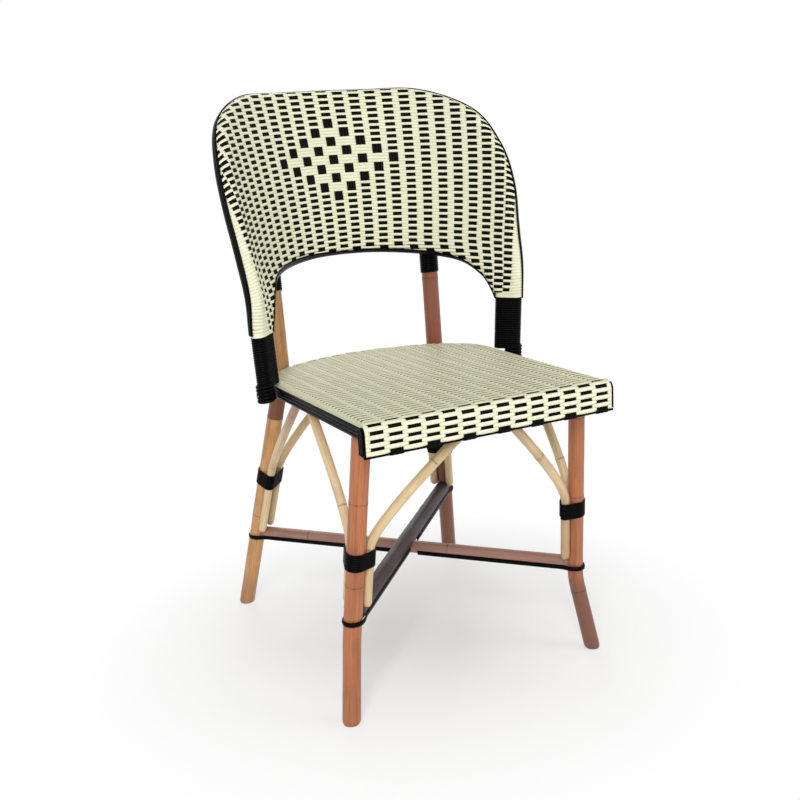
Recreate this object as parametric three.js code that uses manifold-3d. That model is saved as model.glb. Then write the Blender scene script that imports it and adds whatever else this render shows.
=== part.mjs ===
// A cafe chair of bent rattan poles with a woven seat and a woven barrel back.
// Millimetres, +Z up, the sitter faces -Y, and +X is on the right seen from the front.
import * as THREE from 'three';
import { mergeVertices } from 'three/addons/utils/BufferGeometryUtils.js';
import Module from 'manifold-3d';

const wasm = await Module();
wasm.setup();

// Seat: plan and height
const seatHeight = 455;
const seatFrontHalf = 191;
const seatShoulderHalf = 199;
const seatFrontReach = 245;
const seatShoulderReach = 90;
const seatBackReach = 220;
const seatWeaveThickness = 3;
const apronDrop = 42;
const seatTrimThickness = 4;
const seatTrimHeight = 17;
const seatTrimDrop = 1;
const apronTrimHeight = 4;
const apronTrimDepth = 6;

// Pole diameters
const railDiameter = 22;
const apronRailDiameter = 14;
const frontLeftLegDiameter = 27;
const frontRightLegDiameter = 24;
const rearLeftLegDiameter = 27;
const rearRightLegDiameter = 28;
const braceDiameter = 14;
const lowStretcherDiameter = 21;
const highStretcherDiameter = 26;
const hoopDiameter = 20;
const archDiameter = 20;

// Legs
const railInset = 1;
const frontLegInset = 9;
const frontLegSetback = 57;
const frontLegSaddle = 6;
const frontLegSplay = 20.5;
const frontLegRake = 44.5;
const kneeHeight = 118;
const kneeRound = 16;
const footKickOut = 17.5;
const footKickForward = 17.5;
const rearLegBendDrop = 15;
const rearLegBendRound = 22;
const rearLegSplay = 68;
const rearLegRake = 118;
const postAngle = THREE.MathUtils.degToRad(47.5);
const postArchReach = 131;
const postTopRise = 36;

// Stretchers, their straps and the braces
const lowStretcherHeight = 144;
const stretcherStep = 10;
const strapThickness = 3;
const strapHeight = 7;
const strapDrop = 6;
const strapTailInset = 24;
const braceFootRise = 14;
const braceBendRise = 32;
const frontBraceReach = 10;
const rearBraceReach = 10;
const sideBraceFrontReach = 25;
const sideBraceRearReach = 6;

// Bindings
const bindingThickness = 2;
const frontBindingHeight = 243;
const rearBindingHeight = 253;
const legBindingLength = 30;
const postBindingLength = 60;
const postBindingRise = 20;
const sideBindingLength = 75;
const lashingThickness = 5;
const lashingLength = 22;
const lashingDrop = 3;

// Back: two bent poles on a leaning, flaring barrel
const sideReach = 56;
const sideTurn = THREE.MathUtils.degToRad(42);
const springRise = 85;
const blendRise = 100;
const barrelRise = 322;
const barrelReach = 265.9;
const barrelLeanShare = 0.2197;
const barrelLeanGrowth = 1515;
const barrelSpread = 385.2;
const barrelFlareShare = 0.57;
const barrelEdgeReach = 815;
const hoopFlare = 16.4;
const hoopRise = 339.5;
const hoopTailDrop = 40;
const hoopOutlineShares = [
  [0.951, 0], [0.956, 0.149], [0.977, 0.347], [1, 0.539], [0.985, 0.717], [0.899, 0.877], [0.652, 0.979],
  [0.323, 0.995], [0, 1],
];
const archRise = 92.9;
const archOutlineShares = [
  [1, 0], [0.975, 0.2], [0.93, 0.483], [0.84, 0.741], [0.7, 0.864], [0.5, 0.939], [0.25, 0.988], [0, 1],
];
const backWeaveThickness = 1.6;
const hoopWrapAngle = THREE.MathUtils.degToRad(175);
const archWrapAngle = THREE.MathUtils.degToRad(125);
const backTrimThickness = 1.8;
const backTrimShares = [[0, -1], [0.75, -0.75], [1, 0], [0.75, 0.75], [0, 1], [0, 0.33], [0, -0.33]];
const hoopTrimWidth = 15;
const archTrimWidth = 14;
const hoopTrimAngle = THREE.MathUtils.degToRad(138);
const archTrimAngle = THREE.MathUtils.degToRad(67);

// Nails
const nailDiameter = 3;
const nailHeadDiameter = 6.5;
const nailHeadThickness = 1.4;
const nailHeadSink = 1.6;
const nailBite = 15;

// Clearance between touching pieces, a looser one round bent poles, and a cutting shape's overrun
const fitGap = 0.3;
const bentGap = 0.5;
const overrun = 20;

// Counts
const poleSides = 12;
const smallSides = 10;
const nailSides = 6;
const legBendStations = 5;
const braceBendStations = 9;
const bowStations = 14;
const crownStations = 20;
const panelStations = 5;
const hoopWrapStations = 7;
const archWrapStations = 5;
const frontRollStations = 8;
const trimArcStations = 28;

const Z = new THREE.Vector3(0, 0, 1);
const left = -1;
const right = 1;
const sideName = (side) => (side === left ? 'left' : 'right');
const vec = (x, y, z) => new THREE.Vector3(x, y, z);
const mirrored = (point) => vec(-point.x, point.y, point.z);

const colours = {
  orangePole: [0xc47a48, 0.5],
  tanPole: [0xbd8c5c, 0.5],
  redPole: [0x8c5744, 0.5],
  strawPole: [0xdcc391, 0.5],
  mauvePole: [0xa27a6c, 0.5],
  greyPole: [0x5f5456, 0.55],
  hiddenPole: [0xb98a5c, 0.6],
  creamCane: [0xf0efcf, 0.4],
  blackCane: [0x141311, 0.3],
  steelNail: [0x8d9096, 0.35],
};

const chair = new THREE.Group();
const pieces = new Map();

function addPiece(name, geometry, colour) {
  const [color, roughness] = colours[colour];
  const metalness = colour === 'steelNail' ? 1 : 0;
  const mesh = new THREE.Mesh(geometry, new THREE.MeshStandardMaterial({ color, roughness, metalness }));
  mesh.name = name;
  chair.add(mesh);
  pieces.set(name, mesh);
}

// Solids and meshes
function toSolid(geometry) {
  const bare = geometry.index ? geometry.toNonIndexed() : geometry.clone();
  for (const key of Object.keys(bare.attributes)) {
    if (key !== 'position') bare.deleteAttribute(key);
  }
  const merged = mergeVertices(bare, 1e-4);
  const vertProperties = new Float32Array(merged.attributes.position.array);
  const triVerts = new Uint32Array(merged.index.array);
  return new wasm.Manifold(new wasm.Mesh({ numProp: 3, vertProperties, triVerts }));
}

function toGeometry(solid) {
  const mesh = solid.getMesh();
  const geometry = new THREE.BufferGeometry();
  geometry.setAttribute('position', new THREE.BufferAttribute(new Float32Array(mesh.vertProperties), 3));
  geometry.setIndex(new THREE.BufferAttribute(new Uint32Array(mesh.triVerts), 1));
  return geometry;
}

function cut(geometry, ...cutters) {
  return toGeometry(cutters.reduce((solid, cutter) => solid.subtract(toSolid(cutter)), toSolid(geometry)));
}

function join(first, ...others) {
  return toGeometry(others.reduce((solid, other) => solid.add(toSolid(other)), toSolid(first)));
}

// A path that an extrusion follows through every given station, with no resampling
class StationPath extends THREE.Curve {
  constructor(stations) {
    super();
    this.stations = stations;
  }

  getPoint(t, target = new THREE.Vector3()) {
    const last = this.stations.length - 1;
    const index = Math.min(Math.floor(t * last + 1e-6), last - 1);
    return target.lerpVectors(this.stations[index], this.stations[index + 1], t * last - index);
  }

  getPointAt(u, target) {
    return this.getPoint(u, target);
  }

  getTangentAt(u, target = new THREE.Vector3()) {
    return target.copy(stationTangent(this.stations, Math.round(u * (this.stations.length - 1))));
  }
}

function stationTangent(stations, index) {
  const here = stations[index];
  const before = stations[Math.max(index - 1, 0)];
  const after = stations[Math.min(index + 1, stations.length - 1)];
  const arriving = here.clone().sub(before).normalize();
  const leaving = after.clone().sub(here).normalize();
  return arriving.add(leaving).normalize();
}

function polygon(radius, sides) {
  return Array.from({ length: sides }, (_, i) => {
    const angle = (2 * Math.PI * i) / sides;
    return new THREE.Vector2(radius * Math.cos(angle), radius * Math.sin(angle));
  });
}

function alongStations(shape, stations) {
  const extrudePath = new StationPath(stations);
  return new THREE.ExtrudeGeometry(shape, { steps: stations.length - 1, bevelEnabled: false, extrudePath });
}

function pole(stations, diameter, sides = poleSides, grow = 0) {
  return alongStations(new THREE.Shape(polygon(diameter / 2 + grow, sides)), stations);
}

// A closed skin through rings of points, with each end closed by the ring's flat outline
function loft(rings, outlines) {
  const count = rings[0].length;
  const positions = rings.flat().flatMap((point) => [point.x, point.y, point.z]);
  const index = [];
  for (let ring = 0; ring < rings.length - 1; ring += 1) {
    for (let i = 0; i < count; i += 1) {
      const next = (i + 1) % count;
      const a = ring * count + i;
      const b = ring * count + next;
      index.push(a, b, b + count, a, b + count, a + count);
    }
  }
  const lastStart = (rings.length - 1) * count;
  for (const [i, j, k] of THREE.ShapeUtils.triangulateShape(outlines[0], [])) index.push(k, j, i);
  for (const [i, j, k] of THREE.ShapeUtils.triangulateShape(outlines.at(-1), [])) {
    index.push(lastStart + i, lastStart + j, lastStart + k);
  }
  const geometry = new THREE.BufferGeometry();
  geometry.setAttribute('position', new THREE.Float32BufferAttribute(positions, 3));
  geometry.setIndex(index);
  return facingOut(geometry);
}

function facingOut(geometry) {
  const place = geometry.attributes.position;
  const index = geometry.index.array;
  const [a, b, c] = [vec(0, 0, 0), vec(0, 0, 0), vec(0, 0, 0)];
  let volume = 0;
  for (let i = 0; i < index.length; i += 3) {
    a.fromBufferAttribute(place, index[i]);
    b.fromBufferAttribute(place, index[i + 1]);
    c.fromBufferAttribute(place, index[i + 2]);
    volume += a.dot(b.cross(c));
  }
  if (volume < 0) geometry.setIndex(Array.from(index).reverse());
  return geometry;
}

// The part of a direction that is square to a unit axis
function squareTo(direction, axis) {
  return direction.clone().addScaledVector(axis, -direction.dot(axis)).normalize();
}

// An outline in the plane square to an axis, extruded along that axis from a start point
function alongAxis(start, axis, across, outline, holes, length) {
  const shape = new THREE.Shape(outline);
  for (const hole of holes) shape.holes.push(new THREE.Path(hole));
  const geometry = new THREE.ExtrudeGeometry(shape, { depth: length, bevelEnabled: false });
  const unitZ = axis.clone().normalize();
  const unitX = squareTo(across, unitZ);
  const unitY = unitZ.clone().cross(unitX);
  const frame = new THREE.Matrix4().makeBasis(unitX, unitY, unitZ).setPosition(start);
  return geometry.applyMatrix4(frame);
}

// The outline of a belt pulled round several round poles
function beltOutline(circles, grow, sides) {
  const points = circles.flatMap(([x, y, radius]) => polygon(radius + grow, sides).map(
    (point) => new THREE.Vector2(point.x + x, point.y + y),
  ));
  points.sort((a, b) => a.x - b.x || a.y - b.y);
  const turn = (o, a, b) => (a.x - o.x) * (b.y - o.y) - (a.y - o.y) * (b.x - o.x);
  const half = (list) => list.reduce((chain, point) => {
    while (chain.length > 1 && turn(chain.at(-2), chain.at(-1), point) <= 0) chain.pop();
    chain.push(point);
    return chain;
  }, []);
  return [...half(points).slice(0, -1), ...half(points.toReversed()).slice(0, -1)];
}

// Seat plan
const railRadius = railDiameter / 2;
const braceRadius = braceDiameter / 2;
const hoopRadius = hoopDiameter / 2;
const archRadius = archDiameter / 2;
const railHeight = seatHeight - seatWeaveThickness - fitGap - railRadius;
const railLine = railInset + railRadius;
const frontRailReach = seatFrontReach - seatWeaveThickness - fitGap - railRadius;
const apronRailRadius = apronRailDiameter / 2;
const apronRailReach = seatFrontReach - seatWeaveThickness - fitGap - apronRailRadius;
const apronRailHeight = railHeight - railRadius - fitGap - apronRailRadius;

function seatHalfWidth(y) {
  const share = (y + seatFrontReach) / (seatShoulderReach + seatFrontReach);
  return seatFrontHalf + (seatShoulderHalf - seatFrontHalf) * share;
}

// Rear edge of the seat at an angle from +X, moved outward by an offset
function seatRearPoint(angle, offset = 0) {
  const depth = seatBackReach - seatShoulderReach;
  const normal = new THREE.Vector2(Math.cos(angle) / seatShoulderHalf, Math.sin(angle) / depth).normalize();
  return new THREE.Vector2(
    seatShoulderHalf * Math.cos(angle) + normal.x * offset,
    seatShoulderReach + depth * Math.sin(angle) + normal.y * offset,
  );
}

// Open outline from the front left, round the back, to the front right, moved outward by an offset
function seatOutline(offset, frontY, stations) {
  const angles = Array.from({ length: stations + 1 }, (_, i) => Math.PI * (1 - i / stations));
  const arc = angles.map((angle) => seatRearPoint(angle, offset));
  const frontX = seatHalfWidth(frontY) + offset;
  return [new THREE.Vector2(-frontX, frontY), ...arc, new THREE.Vector2(frontX, frontY)];
}

// Seat frame
const bowFrontY = -(frontRailReach - railRadius - fitGap);
const bowOutline = seatOutline(-railLine, bowFrontY, bowStations);
const bowPath = bowOutline.map((point) => vec(point.x, point.y, railHeight));
const frontRailHalf = seatHalfWidth(-frontRailReach) - railInset;
const acrossFront = (reach, height) => [left, right].map((side) => vec(side * frontRailHalf, -reach, height));
const frontRailPath = acrossFront(frontRailReach, railHeight);
const apronRailPath = acrossFront(apronRailReach, apronRailHeight);
addPiece('seat_bow', pole(bowPath, railDiameter), 'hiddenPole');
addPiece('front_rail', pole(frontRailPath, railDiameter), 'hiddenPole');
addPiece('apron_rail', pole(apronRailPath, apronRailDiameter, smallSides), 'hiddenPole');
const seatBowCutter = pole(bowPath, railDiameter, poleSides, fitGap);
const frontRailCutter = pole(frontRailPath, railDiameter, poleSides, fitGap);
const apronRailCutter = pole(apronRailPath, apronRailDiameter, smallSides, fitGap);

// Woven seat: a flat sheet that rolls over the front rail and hangs as an apron
const apronBottom = seatHeight - apronDrop;
const rollInner = railRadius + fitGap;
const rollOuter = rollInner + seatWeaveThickness;

// Quarter turn about the front rail, from above it to in front of it, in the YZ plane
function frontRollArc(radius) {
  return Array.from({ length: frontRollStations + 1 }, (_, i) => {
    const angle = (Math.PI / 2) * (1 + i / frontRollStations);
    const rim = new THREE.Vector2(radius * Math.cos(angle), radius * Math.sin(angle));
    return rim.add(new THREE.Vector2(-frontRailReach, railHeight));
  });
}

function frontRollSection() {
  const apron = (radius) => new THREE.Vector2(-frontRailReach - radius, apronBottom);
  const lap = -frontRailReach + railRadius;
  return [
    new THREE.Vector2(lap, seatHeight),
    ...frontRollArc(rollOuter),
    apron(rollOuter),
    apron(rollInner),
    ...frontRollArc(rollInner).reverse(),
    new THREE.Vector2(lap, railHeight + rollInner),
  ];
}

// A section in the YZ plane extruded along +X from a start
function acrossX(section, start, width) {
  return alongAxis(vec(start, 0, 0), vec(1, 0, 0), vec(0, 1, 0), section, [], width);
}

function seatWeave() {
  const outline = seatOutline(0, -frontRailReach, trimArcStations);
  const top = alongAxis(
    vec(0, 0, seatHeight - seatWeaveThickness), Z, vec(1, 0, 0), outline, [], seatWeaveThickness,
  );
  const half = seatHalfWidth(-frontRailReach);
  return join(top, acrossX(frontRollSection(), -half, 2 * half));
}

addPiece('seat_weave', seatWeave(), 'creamCane');

// Black cane round the seat's sides and back, turned down beside the apron
function seatEdgeTrim() {
  const trimTop = seatHeight - seatTrimDrop;
  const frontY = -frontRailReach;
  const inner = seatOutline(fitGap, frontY, trimArcStations);
  const outer = seatOutline(fitGap + seatTrimThickness, frontY, trimArcStations);
  const ring = [...outer, ...inner.toReversed()];
  const band = alongAxis(vec(0, 0, trimTop - seatTrimHeight), Z, vec(1, 0, 0), ring, [], seatTrimHeight);
  const radius = rollOuter - seatTrimDrop;
  const cheek = [
    new THREE.Vector2(frontY + seatTrimThickness, trimTop),
    ...frontRollArc(radius),
    new THREE.Vector2(frontY - radius, apronBottom),
    new THREE.Vector2(frontY - radius + seatTrimHeight / 2, apronBottom),
    new THREE.Vector2(frontY + seatTrimThickness, trimTop - seatTrimHeight),
  ];
  const inside = seatHalfWidth(frontY) + fitGap;
  return join(
    band,
    acrossX(cheek, inside, seatTrimThickness),
    acrossX(cheek, -inside - seatTrimThickness, seatTrimThickness),
  );
}

addPiece('seat_edge_trim', seatEdgeTrim(), 'blackCane');

// Black cane along the apron's lower edge
function apronEdgeTrim() {
  const front = -frontRailReach - rollOuter;
  const top = apronBottom - fitGap;
  const half = seatHalfWidth(-frontRailReach);
  const section = [
    new THREE.Vector2(front, top),
    new THREE.Vector2(front, top - apronTrimHeight),
    new THREE.Vector2(front + apronTrimDepth, top - apronTrimHeight),
    new THREE.Vector2(front + apronTrimDepth, top),
  ];
  return acrossX(section, -half, 2 * half);
}

addPiece('apron_edge_trim', apronEdgeTrim(), 'blackCane');

// Side ends of the back: the hoop stands outside the seat edge, and the arch inside it
const springHeight = seatHeight + springRise;
const seatTrimBottom = seatHeight - seatTrimDrop - seatTrimHeight;
const lashingRadius = hoopRadius + fitGap + lashingThickness;
const seatSideOuter = seatHalfWidth(sideReach + lashingRadius) + fitGap + seatTrimThickness;
const hoopEndX = seatSideOuter + fitGap + lashingRadius;
const hoopHalf = hoopEndX + hoopFlare;
const hoopSpringX = hoopHalf * hoopOutlineShares[0][0];
const sideSlope = (hoopSpringX - hoopEndX) / (springHeight - seatTrimBottom);
const poleSpacing = hoopRadius + fitGap + archRadius;
const poleSpacingX = poleSpacing * Math.cos(sideTurn);
const archSpringX = hoopSpringX - poleSpacingX;

// Barrel of the back: depth, and the direction square to it, at any width and height
function barrelBlend(z) {
  const share = THREE.MathUtils.clamp((z - springHeight) / blendRise, 0, 1);
  return share * share * (3 - 2 * share);
}

function barrelY(x, z) {
  const rise = z - seatHeight - barrelRise;
  const middle = barrelReach + barrelLeanShare * rise + (rise * rise) / barrelLeanGrowth;
  const spread = barrelSpread + barrelFlareShare * rise;
  const round = middle - ((x * x) / spread) * (1 + (x / barrelEdgeReach) ** 2);
  const flat = sideReach + Math.tan(sideTurn) * (hoopSpringX - Math.abs(x));
  return flat + (round - flat) * barrelBlend(z);
}

const backPoint = (x, z) => vec(x, barrelY(x, z), z);

function backNormal(x, z) {
  const slopeX = (barrelY(x + fitGap, z) - barrelY(x - fitGap, z)) / (2 * fitGap);
  const slopeZ = (barrelY(x, z + fitGap) - barrelY(x, z - fitGap)) / (2 * fitGap);
  return vec(-slopeX, 1, -slopeZ).normalize();
}

// Half outlines of the two bent poles, from the spring up to the middle, then mirrored
function crown(half, rise, shares) {
  const curve = new THREE.SplineCurve(
    shares.map(([across, up]) => new THREE.Vector2(half * across, springHeight + rise * up)),
  );
  return curve.getSpacedPoints(crownStations);
}

function fullOutline(halfOutline) {
  const leftHalf = halfOutline.map((point) => new THREE.Vector2(-point.x, point.y)).slice(0, -1);
  return [...leftHalf, ...halfOutline.toReversed()];
}

const sideFoot = (x, z) => new THREE.Vector2(x - sideSlope * (springHeight - z), z);
const sideBindingTop = seatHeight + sideBindingLength;
const hoopCrown = crown(hoopHalf, hoopRise, hoopOutlineShares);
const archCrown = crown(archSpringX, archRise, archOutlineShares);
const hoopOutline = fullOutline([sideFoot(hoopSpringX, seatHeight - hoopTailDrop), ...hoopCrown]);
const archOutline = fullOutline([sideFoot(archSpringX, seatHeight + fitGap), ...archCrown]);
const onBack = (outline) => outline.map((point) => backPoint(point.x, point.y));
const hoopPath = onBack(hoopOutline);
const archPath = onBack(archOutline);
addPiece('back_hoop', pole(hoopPath, hoopDiameter), 'tanPole');
addPiece('back_arch', pole(archPath, archDiameter), 'tanPole');

// Woven back: a sheet across the front of both poles that wraps round each of them
const weaveFoot = sideBindingTop + bentGap;
const hoopWeaveLine = fullOutline([sideFoot(hoopSpringX, weaveFoot), ...hoopCrown]);
const archWeaveFoot = weaveFoot + (poleSpacing / Math.cos(sideTurn)) * sideSlope;
const archWeaveLine = fullOutline([sideFoot(archSpringX, archWeaveFoot), ...archCrown]);

// Directions at a station of a bent pole: away from the woven panel, and to the rear
function rimFrame(line, opposite, index) {
  const stations = onBack(line);
  const point = stations[index];
  const rear = backNormal(line[index].x, line[index].y);
  const away = stationTangent(stations, index).cross(rear).normalize();
  const across = point.clone().sub(backPoint(opposite[index].x, opposite[index].y));
  if (away.dot(across) < 0) away.negate();
  return { point, rear: squareTo(rear, stationTangent(stations, index)), away };
}

const hoopFrames = hoopWeaveLine.map((_, i) => rimFrame(hoopWeaveLine, archWeaveLine, i));
const archFrames = archWeaveLine.map((_, i) => rimFrame(archWeaveLine, hoopWeaveLine, i));

function roundRim(frame, distance, angle) {
  return frame.point.clone()
    .addScaledVector(frame.rear, -distance * Math.cos(angle))
    .addScaledVector(frame.away, distance * Math.sin(angle));
}

// A wrap's corners stand out so that its flats clear the round pole inside
const wrapStretch = 1 / Math.cos(hoopWrapAngle / hoopWrapStations / 2);

function rimWrap(frame, distance, wrapAngle, stations) {
  return Array.from({ length: stations + 1 }, (_, i) => roundRim(frame, distance, (wrapAngle * i) / stations));
}

// One side of the sheet at a station, from behind the arch pole to behind the hoop pole
function sheetLine(index, lift) {
  const archDistance = (archRadius + lift) * wrapStretch;
  const hoopDistance = (hoopRadius + lift) * wrapStretch;
  const archPart = rimWrap(archFrames[index], archDistance, archWrapAngle, archWrapStations).reverse();
  const hoopPart = rimWrap(hoopFrames[index], hoopDistance, hoopWrapAngle, hoopWrapStations);
  const middle = Array.from({ length: panelStations }, (_, i) => {
    const share = (i + 1) / (panelStations + 1);
    const place = archWeaveLine[index].clone().lerp(hoopWeaveLine[index], share);
    const radius = (THREE.MathUtils.lerp(archRadius, hoopRadius, share) + lift) * wrapStretch;
    return backPoint(place.x, place.y).addScaledVector(backNormal(place.x, place.y), -radius);
  });
  return [...archPart, ...middle, ...hoopPart];
}

function flatOutline(ring, frame) {
  return ring.map((point) => {
    const offset = point.clone().sub(frame.point);
    return new THREE.Vector2(offset.dot(frame.away), offset.dot(frame.rear));
  });
}

function backWeave() {
  const rings = hoopWeaveLine.map((_, index) => [
    ...sheetLine(index, bentGap + backWeaveThickness),
    ...sheetLine(index, bentGap).reverse(),
  ]);
  return loft(rings, [flatOutline(rings[0], hoopFrames[0]), flatOutline(rings.at(-1), hoopFrames.at(-1))]);
}

addPiece('back_weave', backWeave(), 'creamCane');

// A cane band that follows the rim of the sheet and bends round it
function rimTrim(frames, poleRadius, angle, width) {
  const inner = (poleRadius + bentGap + backWeaveThickness) * wrapStretch + bentGap + fitGap;
  const outline = backTrimShares.map(([up, across]) => (
    new THREE.Vector2(up * backTrimThickness, (across * width) / 2)
  ));
  const rings = frames.map((frame) => (
    outline.map((point) => roundRim(frame, inner + point.x, angle + point.y / inner))
  ));
  return loft(rings, [flatOutline(rings[0], frames[0]), flatOutline(rings.at(-1), frames.at(-1))]);
}

addPiece('hoop_edge_trim', rimTrim(hoopFrames, hoopRadius, hoopTrimAngle, hoopTrimWidth), 'blackCane');
addPiece('arch_edge_trim', rimTrim(archFrames, archRadius, archTrimAngle, archTrimWidth), 'blackCane');

// A wrapped sleeve between two heights on the straight end of the hoop, round the given circles
function sideSleeve(side, low, high, circles, thickness) {
  const place = (x, z) => {
    const foot = sideFoot(x, z);
    const point = backPoint(foot.x, foot.y);
    return side === left ? mirrored(point) : point;
  };
  const start = place(hoopSpringX, low);
  const axis = place(hoopSpringX, high).sub(start);
  const across = place(archSpringX, low).sub(start);
  const outer = beltOutline(circles, fitGap + thickness, poleSides * 2);
  const inner = beltOutline(circles, fitGap, poleSides * 2);
  return alongAxis(start, axis, across, outer, [inner], axis.length());
}

// Bindings that hold each end of the hoop and the arch together above the seat
const bindingFoot = seatHeight + fitGap;
const bothPoles = [[0, 0, hoopRadius], [poleSpacing, 0, archRadius]];
const sideBinding = (side) => sideSleeve(side, bindingFoot, sideBindingTop, bothPoles, bindingThickness);

// Lashing wound on the hoop's tail, where it passes the edge of the seat
const lashingTop = seatHeight - lashingDrop;
const hoopOnly = [[0, 0, hoopRadius]];
const lashingFoot = lashingTop - lashingLength;
const hoopLashing = (side) => sideSleeve(side, lashingFoot, lashingTop, hoopOnly, lashingThickness);

for (const side of [left, right]) {
  addPiece(`side_binding_${sideName(side)}`, sideBinding(side), 'blackCane');
  addPiece(`hoop_lashing_${sideName(side)}`, hoopLashing(side), 'blackCane');
}

// Legs
function bend(before, corner, after, round) {
  const start = corner.clone().add(before.clone().sub(corner).setLength(round));
  const end = corner.clone().add(after.clone().sub(corner).setLength(round));
  return new THREE.QuadraticBezierCurve3(start, corner, end).getPoints(legBendStations);
}

function lineAt(low, high, z) {
  return low.clone().lerp(high, (z - low.z) / (high.z - low.z));
}

// A leg starts below the floor and is sawn off level with it
function legToFloor(stations, diameter, ...cutters) {
  const [foot, next] = stations;
  const buried = lineAt(foot, next, -overrun);
  const reach = diameter + overrun;
  const floor = new THREE.BoxGeometry(2 * reach, 2 * reach, 2 * reach);
  floor.translate(foot.x, foot.y, -reach);
  return cut(pole([buried, ...stations.slice(1)], diameter), floor, ...cutters);
}

const frontLegY = -(seatFrontReach - frontLegSetback);
const frontLegTopZ = railHeight - railRadius + frontLegSaddle;
const frontLegX = seatHalfWidth(frontLegY) - railLine - frontLegInset;
const knee = vec(frontLegX + frontLegSplay, frontLegY + frontLegRake, kneeHeight);
const frontLegTop = vec(frontLegX, frontLegY, frontLegTopZ);
const frontFoot = vec(knee.x + footKickOut, knee.y - footKickForward, 0);
const frontLegStations = [frontFoot, ...bend(frontFoot, knee, frontLegTop, kneeRound), frontLegTop];

// Each rear leg runs on up as a back post, outside the seat edge and behind the arch
const archContact = archCrown.reduce((best, point) => (
  Math.abs(point.x - postArchReach) < Math.abs(best.x - postArchReach) ? point : best
));

function rearLegPlan(radius) {
  const offset = fitGap + seatTrimThickness + fitGap + radius;
  const plan = seatRearPoint(postAngle, offset);
  const corner = vec(plan.x, plan.y, seatHeight - rearLegBendDrop);
  const foot = vec(corner.x + rearLegSplay, corner.y + rearLegRake, 0);
  const behind = archRadius + 3 * bentGap + bindingThickness + fitGap + radius;
  const seat = backPoint(archContact.x, archContact.y)
    .addScaledVector(backNormal(archContact.x, archContact.y), behind);
  const top = lineAt(corner, seat, seat.z + postTopRise);
  return { corner, foot, seat, top, stations: [foot, ...bend(foot, corner, top, rearLegBendRound), top] };
}

const legs = {};

function addLeg(row, side, diameter, colour) {
  const radius = diameter / 2;
  const plan = row === 'rear' ? rearLegPlan(radius) : { stations: frontLegStations };
  const place = (point) => (side === left ? mirrored(point) : point);
  const stations = plan.stations.map(place);
  const [low, high] = (row === 'rear' ? plan.stations.slice(0, 2) : plan.stations.slice(-2)).map(place);
  const cutter = pole(stations, diameter, poleSides, fitGap);
  legs[`${row}_${sideName(side)}`] = { row, side, radius, plan, place, low, high, cutter };
  const cutters = row === 'front' ? [seatBowCutter] : [];
  addPiece(`${row}_leg_${sideName(side)}`, legToFloor(stations, diameter, ...cutters), colour);
}

addLeg('front', left, frontLeftLegDiameter, 'orangePole');
addLeg('front', right, frontRightLegDiameter, 'orangePole');
addLeg('rear', left, rearLeftLegDiameter, 'tanPole');
addLeg('rear', right, rearRightLegDiameter, 'redPole');

// A point on the axis of a leg's straight part
const legAt = (leg, z) => lineAt(leg.low, leg.high, z);

// Stretchers cross under the seat, and the upper one is notched over the lower one
const highStretcherHeight = lowStretcherHeight + stretcherStep;
const lowPath = [legAt(legs.rear_left, lowStretcherHeight), legAt(legs.front_right, lowStretcherHeight)];
const highPath = [legAt(legs.front_left, highStretcherHeight), legAt(legs.rear_right, highStretcherHeight)];
const lowCutter = pole(lowPath, lowStretcherDiameter, poleSides, fitGap);
const highCutter = pole(highPath, highStretcherDiameter, poleSides, fitGap);
addPiece(
  'stretcher_low',
  cut(pole(lowPath, lowStretcherDiameter), legs.rear_left.cutter, legs.front_right.cutter),
  'mauvePole',
);
addPiece(
  'stretcher_high',
  cut(pole(highPath, highStretcherDiameter), legs.front_left.cutter, legs.rear_right.cutter, lowCutter),
  'greyPole',
);

// Each strap loops round a leg, and its two tails run along the stretcher's lower flanks
function strap(legPoint, farPoint, leg, stretcherRadius, stretcherCutter) {
  const along = farPoint.clone().sub(legPoint).setZ(0).normalize();
  const across = Z.clone().cross(along);
  const half = strapThickness / 2;
  const tail = Math.sqrt(stretcherRadius ** 2 - strapDrop ** 2) + fitGap + half;
  const loopRadius = leg.radius + half;
  const centre = legPoint.clone().setZ(legPoint.z - strapDrop);
  const place = (forward, sideways) => centre.clone()
    .addScaledVector(along, forward).addScaledVector(across, sideways);
  const reach = farPoint.clone().sub(legPoint).length() / 2 - strapTailInset;
  const loop = Array.from({ length: poleSides + 1 }, (_, i) => {
    const angle = Math.PI / 2 + (Math.PI * i) / poleSides;
    return place(loopRadius * Math.cos(angle), loopRadius * Math.sin(angle));
  });
  const shoulder = leg.radius + stretcherRadius;
  const stations = [
    place(reach, tail), place(shoulder, tail), ...loop, place(shoulder, -tail), place(reach, -tail),
  ];
  const shape = new THREE.Shape([
    new THREE.Vector2(-strapHeight / 2, -half), new THREE.Vector2(strapHeight / 2, -half),
    new THREE.Vector2(strapHeight / 2, half), new THREE.Vector2(-strapHeight / 2, half),
  ]);
  return cut(alongStations(shape, stations), leg.cutter, stretcherCutter);
}

const lowRadius = lowStretcherDiameter / 2;
const highRadius = highStretcherDiameter / 2;
const [lowRear, lowFront] = lowPath;
const [highFront, highRear] = highPath;
const straps = {
  front_left: strap(highFront, highRear, legs.front_left, highRadius, highCutter),
  rear_right: strap(highRear, highFront, legs.rear_right, highRadius, highCutter),
  rear_left: strap(lowRear, lowFront, legs.rear_left, lowRadius, lowCutter),
  front_right: strap(lowFront, lowRear, legs.front_right, lowRadius, lowCutter),
};
for (const [name, geometry] of Object.entries(straps)) {
  addPiece(`stretcher_strap_${name}`, geometry, 'blackCane');
}

// Each leg has two braces that run up beside it, under its binding, and bend away to the seat frame
const bindingHeights = { front: frontBindingHeight, rear: rearBindingHeight };

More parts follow.
